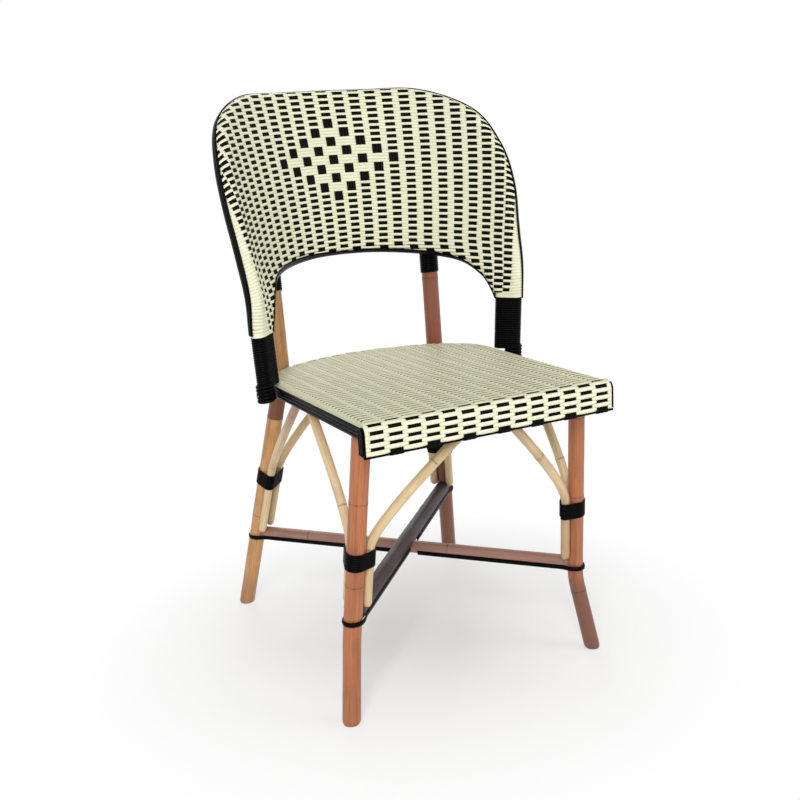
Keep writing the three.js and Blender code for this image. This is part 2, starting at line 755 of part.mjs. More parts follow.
function braceStations(leg, direction, footZ, top) {
  const bendZ = bindingHeights[leg.row] + legBindingLength / 2;
  const axis = leg.high.clone().sub(leg.low).normalize();
  const offset = squareTo(direction, axis).multiplyScalar(leg.radius + fitGap + braceRadius);
  const start = legAt(leg, footZ).add(offset);
  const bendStart = legAt(leg, bendZ).add(offset);
  const corner = legAt(leg, bendZ + braceBendRise).add(offset);
  return [start, ...new THREE.QuadraticBezierCurve3(bendStart, corner, top).getPoints(braceBendStations)];
}

// Where a brace's axis meets the axis of the seat frame
const sideRailPoint = (side, y) => vec(side * (seatHalfWidth(y) - railLine), y, railHeight);
const frontRailPoint = (side) => vec(side * frontBraceReach, -frontRailReach, railHeight);

function rearRailPoint(side) {
  const point = seatRearPoint(Math.acos(rearBraceReach / seatShoulderHalf), -railLine);
  return vec(side * point.x, point.y, railHeight);
}

const braceCutters = [seatBowCutter, frontRailCutter, apronRailCutter, lowCutter, highCutter];
for (const [name, leg] of Object.entries(legs)) {
  const { row, side } = leg;
  const onHigh = name === 'front_left' || name === 'rear_right';
  const footZ = (onHigh ? highStretcherHeight : lowStretcherHeight) + braceFootRise;
  const toRail = row === 'front' ? frontRailPoint(side) : rearRailPoint(side);
  const sideY = row === 'front' ? -sideBraceFrontReach : sideBraceRearReach;
  const forward = row === 'front' ? vec(0, 1, 0) : vec(0, -1, 0);
  const inner = braceStations(leg, vec(-side, 0, 0), footZ, toRail);
  const outer = braceStations(leg, forward, footZ, sideRailPoint(side, sideY));
  for (const [kind, stations] of [['', inner], ['side_', outer]]) {
    const body = pole(stations, braceDiameter, smallSides);
    addPiece(`brace_${row}_${kind}${sideName(side)}`, cut(body, leg.cutter, ...braceCutters), 'strawPole');
  }
}

// Leg bindings belt a leg and its two braces together
function legBinding(leg) {
  const middleZ = bindingHeights[leg.row];
  const low = legAt(leg, middleZ - legBindingLength / 2);
  const axis = legAt(leg, middleZ + legBindingLength / 2).sub(low);
  const unitZ = axis.clone().normalize();
  const unitX = squareTo(vec(-leg.side, 0, 0), unitZ);
  const unitY = unitZ.clone().cross(unitX);
  const sideways = squareTo(vec(0, leg.row === 'front' ? 1 : -1, 0), unitZ);
  const spacing = leg.radius + fitGap + braceRadius;
  const circles = [
    [0, 0, leg.radius],
    [spacing, 0, braceRadius],
    [spacing * sideways.dot(unitX), spacing * sideways.dot(unitY), braceRadius],
  ];
  const outer = beltOutline(circles, fitGap + bindingThickness, poleSides * 2);
  const inner = beltOutline(circles, fitGap, poleSides * 2);
  return alongAxis(low, axis, unitX, outer, [inner], axis.length());
}

// Post bindings pass between a post and the arch that leans on it
function postBinding(leg) {
  const { corner, seat, top } = leg.plan;
  const high = leg.place(lineAt(corner, top, seat.z + postBindingRise));
  const low = leg.place(lineAt(corner, top, seat.z + postBindingRise - postBindingLength));
  const axis = high.clone().sub(low);
  const outer = polygon(leg.radius + fitGap + bindingThickness, poleSides * 2);
  const inner = polygon(leg.radius + fitGap, poleSides * 2);
  return alongAxis(low, axis, vec(1, 0, 0), outer, [inner], axis.length());
}

for (const [name, leg] of Object.entries(legs)) {
  addPiece(`leg_binding_${name}`, legBinding(leg), 'blackCane');
  if (leg.row === 'rear') addPiece(`post_binding_${sideName(leg.side)}`, postBinding(leg), 'blackCane');
}

// Nails: each is drilled through the pieces that it joins, and its head is sunk
function nailGeometry(head, direction, length, grow) {
  const shank = nailDiameter / 2 + grow;
  const cap = nailHeadDiameter / 2 + grow;
  const profile = [
    new THREE.Vector2(0, -grow),
    new THREE.Vector2(cap, -grow),
    new THREE.Vector2(cap, nailHeadThickness + grow),
    new THREE.Vector2(shank, nailHeadThickness + grow),
    new THREE.Vector2(shank, length + grow),
    new THREE.Vector2(0, length + grow),
  ];
  const geometry = new THREE.LatheGeometry(profile, nailSides);
  const turn = new THREE.Quaternion().setFromUnitVectors(vec(0, 1, 0), direction.clone().normalize());
  return geometry.applyQuaternion(turn).translate(head.x, head.y, head.z);
}

// The head lies under the surface of the first pole, and the shank bites into the second
function nail(name, surface, direction, thickness, joined) {
  const unit = direction.clone().normalize();
  const head = surface.clone().addScaledVector(unit, nailHeadSink);
  const length = thickness - nailHeadSink + nailBite;
  const hole = nailGeometry(head, unit, length, fitGap);
  const outside = surface.clone().addScaledVector(unit, -nailHeadSink);
  const mouth = nailGeometry(outside, unit, 2 * nailHeadSink, fitGap);
  for (const piece of joined) {
    const mesh = pieces.get(piece);
    mesh.geometry = cut(mesh.geometry, hole, mouth);
  }
  addPiece(name, toGeometry(toSolid(nailGeometry(head, unit, length, 0))), 'steelNail');
}

const crossing = (() => {
  const share = lowRear.x / (lowRear.x - lowFront.x);
  const point = lowRear.clone().lerp(lowFront, share);
  return vec(point.x, point.y, highStretcherHeight + highRadius);
})();
nail('cross_nail', crossing, vec(0, 0, -1), highRadius, ['stretcher_high', 'stretcher_low']);
const stretcherEnds = [
  ['front_left', highFront, highRear, 'stretcher_high'],
  ['rear_right', highRear, highFront, 'stretcher_high'],
  ['rear_left', lowRear, lowFront, 'stretcher_low'],
  ['front_right', lowFront, lowRear, 'stretcher_low'],
];
for (const [name, near, far, stretcher] of stretcherEnds) {
  const direction = far.clone().sub(near).normalize();
  const { radius } = legs[name];
  const surface = near.clone().addScaledVector(direction, -radius);
  nail(`stretcher_nail_${name}`, surface, direction, 2 * radius, [name.replace('_', '_leg_'), stretcher]);
}

const railTopRise = Math.sqrt(railRadius ** 2 - frontLegInset ** 2);
const edgeDepth = fitGap + seatTrimThickness + fitGap + railInset;
for (const side of [left, right]) {
  const name = sideName(side);
  const place = (point) => (side === left ? mirrored(point) : point);
  const railTop = place(vec(frontLegX, frontLegY, railHeight + railTopRise));
  nail(`front_leg_nail_${name}`, railTop, vec(0, 0, -1), 2 * railTopRise, ['seat_bow', `front_leg_${name}`]);
  const { radius, plan } = legs[`rear_${name}`];
  const edge = seatRearPoint(postAngle);
  const inward = vec(edge.x - plan.corner.x, edge.y - plan.corner.y, 0).normalize();
  const outside = vec(plan.corner.x, plan.corner.y, railHeight).addScaledVector(inward, -radius);
  nail(`seat_nail_${name}`, place(outside), place(inward), 2 * radius + edgeDepth, [
    `rear_leg_${name}`, 'seat_edge_trim', 'seat_bow',
  ]);
  const toArch = backNormal(archContact.x, archContact.y).negate();
  const behind = plan.seat.clone().addScaledVector(toArch, -radius - fitGap - bindingThickness);
  nail(`post_nail_${name}`, place(behind), place(toArch), 2 * (radius + fitGap + bindingThickness), [
    `post_binding_${name}`, `rear_leg_${name}`, 'back_arch',
  ]);
  const tail = sideFoot(hoopSpringX, railHeight);
  const tailY = barrelY(tail.x, tail.y);
  const tailSurface = place(vec(tail.x + lashingRadius, tailY, railHeight));
  const tailDepth = 2 * lashingRadius + edgeDepth;
  nail(`hoop_nail_${name}`, tailSurface, vec(-side, 0, 0), tailDepth, [
    `hoop_lashing_${name}`, 'back_hoop', 'seat_edge_trim', 'seat_bow',
  ]);
}

// The origin is on the floor, under the middle of the whole chair
chair.updateMatrixWorld(true);
const extent = new THREE.Box3().setFromObject(chair, true);
const middle = extent.getCenter(new THREE.Vector3());
chair.position.set(-middle.x, -middle.y, -extent.min.z);

export default chair;
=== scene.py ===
"""Looks of a rattan cafe chair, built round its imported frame: smooth bent poles, a real over-and-under
weave of cane strips on the seat and the back, wound bindings, nailed straps, studio and camera."""

import math

import bpy
import numpy as np
from mathutils import Matrix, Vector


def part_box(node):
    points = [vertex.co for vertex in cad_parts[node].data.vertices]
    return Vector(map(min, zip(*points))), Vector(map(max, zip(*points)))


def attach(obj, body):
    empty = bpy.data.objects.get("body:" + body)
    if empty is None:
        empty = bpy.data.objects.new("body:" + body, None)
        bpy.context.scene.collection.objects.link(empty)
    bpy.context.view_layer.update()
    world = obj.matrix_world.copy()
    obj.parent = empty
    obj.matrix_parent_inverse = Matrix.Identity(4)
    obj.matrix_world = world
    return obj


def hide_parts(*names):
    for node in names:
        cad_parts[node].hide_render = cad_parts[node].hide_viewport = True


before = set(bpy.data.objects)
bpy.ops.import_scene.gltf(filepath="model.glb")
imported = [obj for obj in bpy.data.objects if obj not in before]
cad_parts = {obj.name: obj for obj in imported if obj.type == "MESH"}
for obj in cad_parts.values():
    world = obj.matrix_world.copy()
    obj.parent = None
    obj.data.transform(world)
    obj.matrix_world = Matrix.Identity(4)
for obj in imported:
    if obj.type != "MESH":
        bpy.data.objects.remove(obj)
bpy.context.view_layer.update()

# Sizes are in millimetres in the chair's own frame, whose Y is measured from the seat's middle line.
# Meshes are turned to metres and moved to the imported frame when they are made.
MM = 0.001
SEED = 7
rng = np.random.default_rng(SEED)

# Seat
SEAT_HEIGHT = 455.0
SEAT_FRONT_HALF, SEAT_SHOULDER_HALF = 191.0, 199.0
SEAT_FRONT_REACH, SEAT_SHOULDER_REACH, SEAT_BACK_REACH = 245.0, 90.0, 220.0
SEAT_WEAVE_THICKNESS = 3.0
APRON_DROP = 42.0
SEAT_TRIM_THICKNESS, SEAT_TRIM_HEIGHT, SEAT_TRIM_DROP = 4.0, 17.0, 1.0
SEAT_TRIM_SHOWN, SEAT_TRIM_SAG, SEAT_TRIM_BULGE = 15.2, 3.5, 1.3
CHEEK_TOP_DROP, CHEEK_NARROWING = 0.8, 0.06
APRON_TRIM_HEIGHT, APRON_TRIM_DEPTH = 4.0, 6.0
GAP, BENT_GAP = 0.3, 0.5

# Poles
RAIL_RADIUS, APRON_RAIL_RADIUS = 11.0, 7.0
LEG_RADIUS = {"front_left": 13.5, "front_right": 12.0, "rear_left": 13.5, "rear_right": 14.0}
BRACE_RADIUS = 7.0
LOW_RADIUS, HIGH_RADIUS = 10.5, 13.0
HOOP_RADIUS = ARCH_RADIUS = 10.0

# Legs
RAIL_INSET, FRONT_LEG_INSET, FRONT_LEG_SETBACK, FRONT_LEG_SADDLE = 1.0, 9.0, 57.0, 6.0
FRONT_LEG_SPLAY, FRONT_LEG_RAKE = 20.5, 44.5
KNEE_HEIGHT, KNEE_ROUND, FOOT_KICK = 118.0, 16.0, 17.5
REAR_BEND_DROP, REAR_BEND_ROUND, REAR_SPLAY, REAR_RAKE = 15.0, 22.0, 68.0, 118.0
POST_ANGLE = math.radians(47.5)
POST_ARCH_REACH, POST_TOP_RISE = 131.0, 36.0

# Stretchers, straps, braces, bindings
LOW_HEIGHT, STRETCHER_STEP = 144.0, 10.0
STRAP_THICKNESS, STRAP_HEIGHT, STRAP_DROP, STRAP_TAIL_INSET = 3.0, 7.0, 6.0, 24.0
STRETCHER_BITE = 4.0
BRACE_FOOT_RISE, BRACE_BEND_RISE, BRACE_TOP_TRIM = 14.0, 32.0, 7.5
FRONT_BRACE_REACH, REAR_BRACE_REACH = 10.0, 10.0
SIDE_BRACE_FRONT_REACH, SIDE_BRACE_REAR_REACH = 25.0, 6.0
BINDING_HEIGHT = {"front": 243.0, "rear": 253.0}
BINDING_THICKNESS, LEG_BINDING_LENGTH = 2.0, 30.0
POST_BINDING_LENGTH, POST_BINDING_RISE = 60.0, 20.0
SIDE_BINDING_LENGTH = 75.0
# How far the winding runs on above the CAD's, on the left and on the right
BINDING_EXTRA = {-1: 4.0, 1: 11.0}
LASHING_THICKNESS, LASHING_LENGTH, LASHING_DROP = 5.0, 22.0, 3.0

# Back
SIDE_REACH, SIDE_TURN = 56.0, math.radians(42)
SPRING_RISE, BLEND_RISE = 85.0, 100.0
BARREL_RISE, BARREL_REACH = 322.0, 265.9
LEAN_SHARE, LEAN_GROWTH = 0.2197, 1515.0
BARREL_SPREAD, FLARE_SHARE, EDGE_REACH = 385.2, 0.57, 815.0
HOOP_FLARE, HOOP_RISE, HOOP_TAIL_DROP, ARCH_RISE = 16.4, 339.5, 40.0, 92.9
HOOP_SHARES = [(0.951, 0), (0.956, 0.149), (0.977, 0.347), (1, 0.539), (0.985, 0.717), (0.899, 0.877),
               (0.652, 0.979), (0.323, 0.995), (0, 1)]
ARCH_SHARES = [(1, 0), (0.975, 0.2), (0.93, 0.483), (0.84, 0.741), (0.7, 0.864), (0.5, 0.939), (0.25, 0.988),
               (0, 1)]
HOOP_WRAP, ARCH_WRAP = math.radians(172), math.radians(125)
HOOP_STRIP = {"angle": math.radians(124), "turn": math.radians(-8), "width": 16.0, "thickness": 2.4}
# The arch's strip leans so that more of its black shows toward the left: partly the real trim, and partly black
# put in for the shade along the arch's left part
ARCH_STRIP = {"angle": math.radians(66), "turn": math.radians(20), "width": 14.0, "thickness": 1.8}

# Weave: black cane runs up the back and along the seat, and cream cane crosses it
CANE_THICKNESS = 0.9
OVER_LIFT, UNDER_LIFT = 0.8, 0.3
BACK_MID_LIFT = BENT_GAP + 0.8
BACK_WEFT_PITCH, BACK_WEFT_DIP = 4.955, 0.0655
BACK_COLUMN_TURN = math.radians(5.7)
BACK_COLUMN_REACH, BACK_COLUMN_FLARE = 269.6, 0.00066
BACK_COLUMNS, BACK_STRIP_SHARE = 12, 0.62
# The outermost column on the left stands a little closer in, and the last two there narrow toward the foot
LEFT_COLUMN, LEFT_COLUMN_WIDTH = -11.82, 0.8
NARROW_HEIGHT, NARROW_RISE, NARROW_SHARE = 620.0, 60.0, 0.42
DIAMOND_HEIGHT = 777.3
SEAT_WEFT_PITCH, SEAT_COLUMN_PITCH = 5.3, 26.9
SEAT_COLUMNS, SEAT_STRIP_SHARE = 14, 0.70
SEAT_WRAP_LENGTH, SEAT_WRAP_STEP = 30.0, 2.2
# How far the seat's strips turn down round the pole, in radians
SIDE_WRAP_TURN, REAR_WRAP_TURN = 2.9, 2.3
SEAT_WEFT_DEPTH, SEAT_SOIL = 1.6, 0.5
BACK_OVER_SHARE, APRON_OVER_SHARE, SEAT_OVER_SHARE = 0.85, 1.1, 1.34
WEFT_PLAIN_SHARE, WEFT_UNDER_SHARE = 1.04, 0.96
WEFT_EASE, WEFT_FLAT_LIFT = 1.8, 0.2
# Room that a cream strip leaves on each side of a black column before it dips
BACK_COLUMN_ROOM, SEAT_COLUMN_ROOM = 0.3, 0.4
# The apron's look turns into the top's over this length, from this share of the front roll on
ROLL_BLEND, ROLL_BLEND_SHARE = 12.0, 0.6
STRANDS, STRAND_FILL, TURN_FILL = 3, 0.97, 0.98
# How much of a strip's thickness its crowned top takes up
BACK_CROWN, SEAT_CROWN, COLUMN_CROWN, FOOT_COURSE_CROWN = 0.22, 0.2, 0.25, 0.35
EDGE_CROWN, STRAP_CROWN, WINDING_CROWN = 0.2, 0.3, 0.36
EDGE_STRIP_LIFT = 1.9
# The visible cane is this much as thick as the CAD's plain strap or sleeve
STRAP_BODY, WINDING_BODY = 0.8, 0.85
# Black cane varies in tint from 0 to 1; edging and straps each have one
EDGE_TINT, STRAP_TINT = 0.3, 0.4
FOOT_COURSE_RISES, WOVEN_FOOT_RISE = (-1.4, 2.2), 3.4
BINDING_PITCH, LASHING_PITCH = 3.7, 5.5

Y_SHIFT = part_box("seat_weave")[0].y / MM + SEAT_FRONT_REACH

LEFT, RIGHT = -1, 1
SIDE_NAME = {LEFT: "left", RIGHT: "right"}
UP = np.array([0.0, 0.0, 1.0])


def vec(*values):
    return np.array(values, float)


def unit(v):
    v = np.asarray(v, float)
    return v / np.maximum(np.linalg.norm(v, axis=-1, keepdims=True), 1e-12)


def mirror(point):
    return point * vec(-1, 1, 1)


def smoothstep(t):
    t = np.clip(t, 0, 1)
    return t * t * (3 - 2 * t)


def square_to(direction, axis):
    direction = np.asarray(direction, float)
    return unit(direction - np.sum(direction * axis, -1, keepdims=True) * axis)


def path_lengths(points):
    return np.concatenate([[0], np.cumsum(np.linalg.norm(np.diff(points, axis=0), axis=1))])


def resample(points, count=None, step=None, lengths=None):
    """Points at even distances, or at the given ones, along a polyline."""
    points = np.asarray(points, float)
    s = path_lengths(points)
    if lengths is None:
        count = count or max(int(math.ceil(s[-1] / step)) + 1, 2)
        lengths = np.linspace(0, s[-1], count)
    return np.stack([np.interp(lengths, s, points[:, i]) for i in range(points.shape[1])], 1)


def spline(points, count):
    """A smooth curve through every point, resampled evenly."""
    p = np.asarray(points, float)
    fine = []
    t = np.linspace(0, 1, 40, endpoint=False)[:, None]
    for i in range(len(p) - 1):
        p0, p1, p2, p3 = p[max(i - 1, 0)], p[i], p[i + 1], p[min(i + 2, len(p) - 1)]
        v0, v1 = (p2 - p0) / 2, (p3 - p1) / 2
        fine.append((2 * p1 - 2 * p2 + v0 + v1) * t**3 + (-3 * p1 + 3 * p2 - 2 * v0 - v1) * t**2 + v0 * t + p1)
    return resample(np.vstack(fine + [p[-1:]]), count)


def bezier(a, b, c, count):
    t = np.linspace(0, 1, count)[:, None]
    return (1 - t) ** 2 * a + 2 * t * (1 - t) * b + t**2 * c


def line_at(low, high, z):
    return low + (high - low) * ((z - low[2]) / (high[2] - low[2]))


def half_width(outline, level):
    """Half width of a symmetric outline at each level of its second coordinate, or below zero past its end."""
    half = outline[outline[:, 0] >= 0]
    order = np.argsort(half[:, 1])
    reach = np.interp(level, half[order, 1], half[order, 0])
    return np.where(level > half[:, 1].max(), -1.0, reach)


def tangents(path):
    t = np.empty_like(path)
    t[1:-1] = path[2:] - path[:-2]
    t[0], t[-1] = path[1] - path[0], path[-1] - path[-2]
    return unit(t)


def circle(count):
    """Even angles round a circle."""
    return np.linspace(0, 2 * math.pi, count, endpoint=False)


# Meshes
class Parts:
    """Gathers several swept bodies into one mesh."""

    def __init__(self):
        self.points, self.faces, self.attributes, self.count = [], [], {}, 0

    def sweep(self, rings, **attributes):
        """A body through rings of points with a face on each end. Attributes are spread over rings and sides."""
        length, sides = rings.shape[:2]
        low = self.count
        for a in range(low, low + (length - 1) * sides, sides):
            b = a + sides
            self.faces += [(a + i, a + (i + 1) % sides, b + (i + 1) % sides, b + i) for i in range(sides)]
        self.count += length * sides
        self.faces += [tuple(range(low + sides - 1, low - 1, -1)), tuple(range(self.count - sides, self.count))]
        self.points.append(rings.reshape(-1, 3))
        for key, values in attributes.items():
            spread = np.broadcast_to(values, (length, sides) + np.shape(values)[2:])
            self.attributes.setdefault(key, []).append(spread.reshape(length * sides, -1))
        return self

    def piece(self, name, slot, *nodes):
        """The mesh as a piece that rides on the one body and takes the place of CAD nodes."""
        mesh = bpy.data.meshes.new(name)
        mesh.from_pydata(((np.vstack(self.points) + vec(0, Y_SHIFT, 0)) * MM).tolist(), [], self.faces)
        for key, values in self.attributes.items():
            values = np.vstack(values).astype(np.float32)
            kind, field = ("FLOAT_VECTOR", "vector") if values.shape[1] == 3 else ("FLOAT", "value")
            mesh.attributes.new(key, kind, "POINT").data.foreach_set(field, values.ravel())
        mesh.materials.append(MATERIALS[slot])
        mesh.update()
        mesh.shade_smooth()
        piece = bpy.data.objects.new(name, mesh)
        bpy.context.scene.collection.objects.link(piece)
        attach(piece, "root")
        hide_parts(*nodes)


def ribbon(parts, path, normals, lift, width, thickness, tint, crown, soil=0.0):
    """A flat strip of cane along a path: its middle is lifted along the normals, its top is crowned."""
    normals, along = unit(normals), tangents(path)
    side = unit(np.cross(along, normals))
    normal = unit(np.cross(side, along))
    lift = np.broadcast_to(lift, len(path))[:, None]
    half = np.broadcast_to(width, len(path))[:, None] / 2
    edge = thickness * (0.5 - crown)
    corners = [(-1, edge), (0, thickness / 2), (1, edge), (1, -edge), (0, -thickness / 2), (-1, -edge)]
    middle = path + normals * lift
    rings = np.stack([middle + side * half * across + normal * up for across, up in corners], 1)
    return parts.sweep(rings, tint=tint, run=path_lengths(path)[:, None] * MM, height=lift, soil=soil,
                       across=[across for across, _ in corners])


# Bent poles
POLE_SIDES = 24
END_ROUNDING = 1.5
# A foot's rings tilt over this length until the lowest is level with the floor
FOOT_LENGTH = 14.0


def pole_frames(path):
    """Directions square to a path that turn as little as possible along it."""
    t = tangents(path)
    across = [square_to(UP if abs(t[0][2]) < 0.9 else vec(1, 0, 0), t[0])]
    for along in t[1:]:
        across.append(square_to(across[-1], along))
    return np.array(across), np.cross(t, across)


def with_knots(length, knots, step=4.0):
    """Distances for a pole's rings: even, with a close group at each growth ring."""
    group = np.array([-5, -3, -1.6, -0.9, -0.45, 0, 0.45, 0.9, 1.6, 3, 5])
    values = [np.linspace(0, length, max(int(length / step), 2) + 1)] + [knot + group for knot in knots]
    merged = np.unique(np.round(np.concatenate(values), 3))
    return merged[(merged >= 0) & (merged <= length)]


def pole(name, node, path, radius, slot, knots, tone=lambda z: 0 * z):
    """A rattan pole: slightly uneven, with a swelling and a fine groove at each growth ring. The tone tells
    how much of the stained colour shows at each height."""
    total = path_lengths(path)[-1]
    s = with_knots(total, knots)
    centres = resample(path, lengths=s)
    across, up = pole_frames(centres)
    phase = rng.uniform(0, 2 * math.pi, 4)
    size = radius * (1 + 0.006 * np.sin(s / 47 + phase[0]) + 0.004 * np.sin(s / 19 + phase[1]))
    ring = np.zeros(len(s))
    for knot in knots:
        swell, groove, stain = (np.exp(-((np.abs(s - knot) / width) ** 2)) for width in (3.2, 0.55, 1.1))
        size += radius * (0.030 * swell - 0.035 * groove)
        ring = np.maximum(ring, stain)
    for away in (total - s, s):
        short = END_ROUNDING - np.minimum(away, END_ROUNDING)
        size = size - (END_ROUNDING - np.sqrt(END_ROUNDING**2 - short**2))
    angle = circle(POLE_SIDES)
    oval = 1 + 0.006 * np.sin(2 * angle + phase[2])
    size = size[:, None, None]
    rings = (centres[:, None] + across[:, None] * (np.cos(angle) * oval)[:, None] * size
             + up[:, None] * (np.sin(angle) * oval)[:, None] * size)
    if centres[0, 2] < 1:
        axis = unit(centres[1] - centres[0])
        level = np.clip(1 - s / FOOT_LENGTH, 0, 1)[:, None] * (centres[:, None, 2] - rings[..., 2]) / axis[2]
        rings += level[..., None] * axis
    round_x, round_y = np.cos(angle) * radius * MM + rng.uniform(0, 5), np.sin(angle) * radius * MM
    grain = np.stack(np.broadcast_arrays(round_x, round_y, s[:, None] * MM), -1)
    Parts().sweep(rings, grain=grain, ring=ring[:, None], tone=tone(centres[:, 2:])).piece(name, slot, node)


# Materials
class Nodes:
    """Short calls for the node tree of a material or a world."""

    def __init__(self, owner):
        owner.use_nodes = True
        self.tree = owner.node_tree

    def feed(self, node, inputs):
        """Link or set each input of a node, which is given itself or by its name."""
        node = self.tree.nodes[node] if isinstance(node, str) else node
        for key, value in inputs.items():
            if isinstance(value, bpy.types.NodeSocket):
                self.tree.links.new(value, node.inputs[key])
            else:
                node.inputs[key].default_value = value
        return node

    def node(self, kind, inputs=None, output=0, **settings):
        made = self.tree.nodes.new(kind)
        for key, value in settings.items():
            setattr(made, key, value)
        return self.feed(made, inputs or {}).outputs[output]

    def attribute(self, name, output="Fac"):
        return self.node("ShaderNodeAttribute", output=output, attribute_name=name)

    def noise(self, vector, scale, detail=3.0):
        inputs = {"Vector": vector, "Scale": scale, "Detail": detail, "Roughness": 0.55}
        return self.node("ShaderNodeTexNoise", inputs, "Fac")

    def stretched_noise(self, vector, scale, detail):
        return self.noise(self.node("ShaderNodeMapping", {"Vector": vector, "Scale": scale}), 1.0, detail)

    def math(self, operation, a, b):
        return self.node("ShaderNodeMath", {0: a, 1: b}, operation=operation)

    def span(self, value, low, high, to_low=0.0, to_high=1.0):
        inputs = {"Value": value, "From Min": low, "From Max": high, "To Min": to_low, "To Max": to_high}
        return self.node("ShaderNodeMapRange", inputs, "Result")

    def mix(self, factor, a, b):
        return self.node("ShaderNodeMix", {0: factor, 6: a, 7: b}, 2, data_type="RGBA")

    def bump(self, height, strength, distance):
        return self.node("ShaderNodeBump", {"Height": height, "Strength": strength, "Distance": distance})


def linear(rgb):
    """An sRGB colour, from 0 to 255, as a shader colour."""
    values = [c / 255 for c in rgb]
    return tuple(c / 12.92 if c <= 0.04045 else ((c + 0.055) / 1.055) ** 2.4 for c in values) + (1.0,)


def rattan(material, plain, streak, dark, stained, gloss):
    """Varnished rattan: long fine streaks, cloudy tone, dark growth rings, and a stained stretch."""
    n = Nodes(material)
    grain = n.attribute("grain", "Vector")
    fine = n.stretched_noise(grain, (900, 900, 14), 4.0)
    broad = n.stretched_noise(grain, (160, 160, 5), 2.0)
    cloud = n.stretched_noise(grain, (40, 40, 16), 3.0)
    speck = n.stretched_noise(grain, (420, 420, 90), 2.0)
    colour = n.mix(n.span(fine, 0.42, 0.66), plain, streak)
    colour = n.mix(n.span(broad, 0.5, 0.72, 0, 0.55), colour, dark)
    colour = n.mix(n.span(cloud, 0.52, 0.78, 0, 0.5), colour, stained)
    colour = n.mix(n.attribute("tone"), colour, stained)
    colour = n.mix(n.span(speck, 0.70, 0.74, 0, 0.45), colour, dark)
    ring = n.math("MULTIPLY", n.attribute("ring"), n.span(broad, 0.35, 0.6, 0.25, 0.75))
    n.feed("Principled BSDF", {
        "Base Color": n.mix(ring, colour, linear((70, 44, 32))),
        "Roughness": n.span(cloud, 0.3, 0.7, gloss - 0.05, gloss + 0.12),
        "Specular IOR Level": 0.3, "Coat Weight": 0.12, "Coat Roughness": 0.16,
        "Normal": n.bump(fine, 0.22, 0.0006),
    })


def cane(material, plain, worn, soiled_and_shaded, gloss, shine):
    """A flat strip of cane: fine lines along it, its own tint, and painted shade where it dips under."""
    n = Nodes(material)
    tint = n.attribute("tint")
    run = n.node("ShaderNodeCombineXYZ", {
        "X": n.math("MULTIPLY", n.attribute("run"), 30.0),
        "Y": n.math("MULTIPLY", n.attribute("across"), 2.2),
        "Z": n.math("MULTIPLY", tint, 60.0),
    })
    lines = n.stretched_noise(run, (0.6, 3.0, 1.0), 3.0)
    cloud = n.noise(run, 0.7, 2.0)
    colour = n.mix(n.span(lines, 0.4, 0.75, 0, 0.6), plain, worn)
    colour = n.mix(n.span(tint, 0, 1, 0, 0.55), colour, worn)
    colour = n.mix(n.span(cloud, 0.55, 0.8, 0, 0.35), colour, soiled_and_shaded)
    # Painted shade: where the strip dips under a crossing strip, its colour is mixed toward the soiled colour in
    # place of the shade there
    colour = n.mix(n.span(n.attribute("height"), -0.2, -0.8, 0, 0.55), colour, soiled_and_shaded)
    n.feed("Principled BSDF", {
        "Base Color": n.mix(n.attribute("soil"), colour, soiled_and_shaded),
        "Roughness": n.span(cloud, 0.3, 0.7, gloss - 0.06, gloss + 0.1),
        "Specular IOR Level": shine,
        "Normal": n.bump(lines, 0.25, 0.0003),
    })


def steel(material, bright, dull):
    n = Nodes(material)
    wear = n.noise(n.node("ShaderNodeTexCoord", output="Object"), 900.0)
    n.feed("Principled BSDF", {"Base Color": n.mix(wear, bright, dull), "Metallic": 1.0,
                               "Roughness": n.span(wear, 0.3, 0.7, 0.28, 0.5)})


# Each slot: the kind of surface, its colours, and its gloss and shine
LOOKS = {
    "rattan_plain": (rattan, [(196, 156, 108), (176, 132, 86), (140, 98, 62), (150, 100, 66)], 0.32),
    "rattan_orange": (rattan, [(194, 122, 78), (170, 98, 60), (128, 74, 48), (122, 82, 66)], 0.32),
    "rattan_tan": (rattan, [(210, 160, 106), (194, 141, 90), (144, 96, 60), (112, 66, 52)], 0.32),
    "rattan_red": (rattan, [(148, 86, 64), (128, 70, 54), (96, 52, 42), (134, 90, 74)], 0.32),
    "rattan_straw": (rattan, [(226, 202, 160), (212, 184, 138), (180, 144, 102), (150, 104, 74)], 0.32),
    "rattan_mauve": (rattan, [(166, 124, 108), (148, 110, 98), (116, 84, 76), (128, 98, 90)], 0.32),
    "rattan_grey": (rattan, [(70, 52, 56), (58, 43, 47), (40, 30, 34), (58, 46, 47)], 0.5),
    # The cane's third colour is its soiled colour, which the cane material also uses as painted shade where strips
    # dip under
    "cane_cream": (cane, [(240, 240, 212), (232, 231, 198), (204, 200, 164)], 0.42, 0.4),
    "cane_black": (cane, [(4, 4, 5), (7, 7, 7), (3, 3, 3)], 0.3, 0.05),
    "nail_steel": (steel, [(150, 150, 150), (95, 92, 88)]),
}
MATERIALS = {slot: bpy.data.materials.new(slot) for slot in LOOKS}
for slot, (surface, colours, *finish) in LOOKS.items():
    surface(MATERIALS[slot], *map(linear, colours), *finish)


# Seat plan
RAIL_HEIGHT = SEAT_HEIGHT - SEAT_WEAVE_THICKNESS - GAP - RAIL_RADIUS
RAIL_LINE = RAIL_INSET + RAIL_RADIUS
FRONT_RAIL_REACH = SEAT_FRONT_REACH - SEAT_WEAVE_THICKNESS - GAP - RAIL_RADIUS
APRON_RAIL_REACH = SEAT_FRONT_REACH - SEAT_WEAVE_THICKNESS - GAP - APRON_RAIL_RADIUS
APRON_RAIL_HEIGHT = RAIL_HEIGHT - RAIL_RADIUS - GAP - APRON_RAIL_RADIUS
APRON_BOTTOM = SEAT_HEIGHT - APRON_DROP
SEAT_DEPTH = SEAT_BACK_REACH - SEAT_SHOULDER_REACH


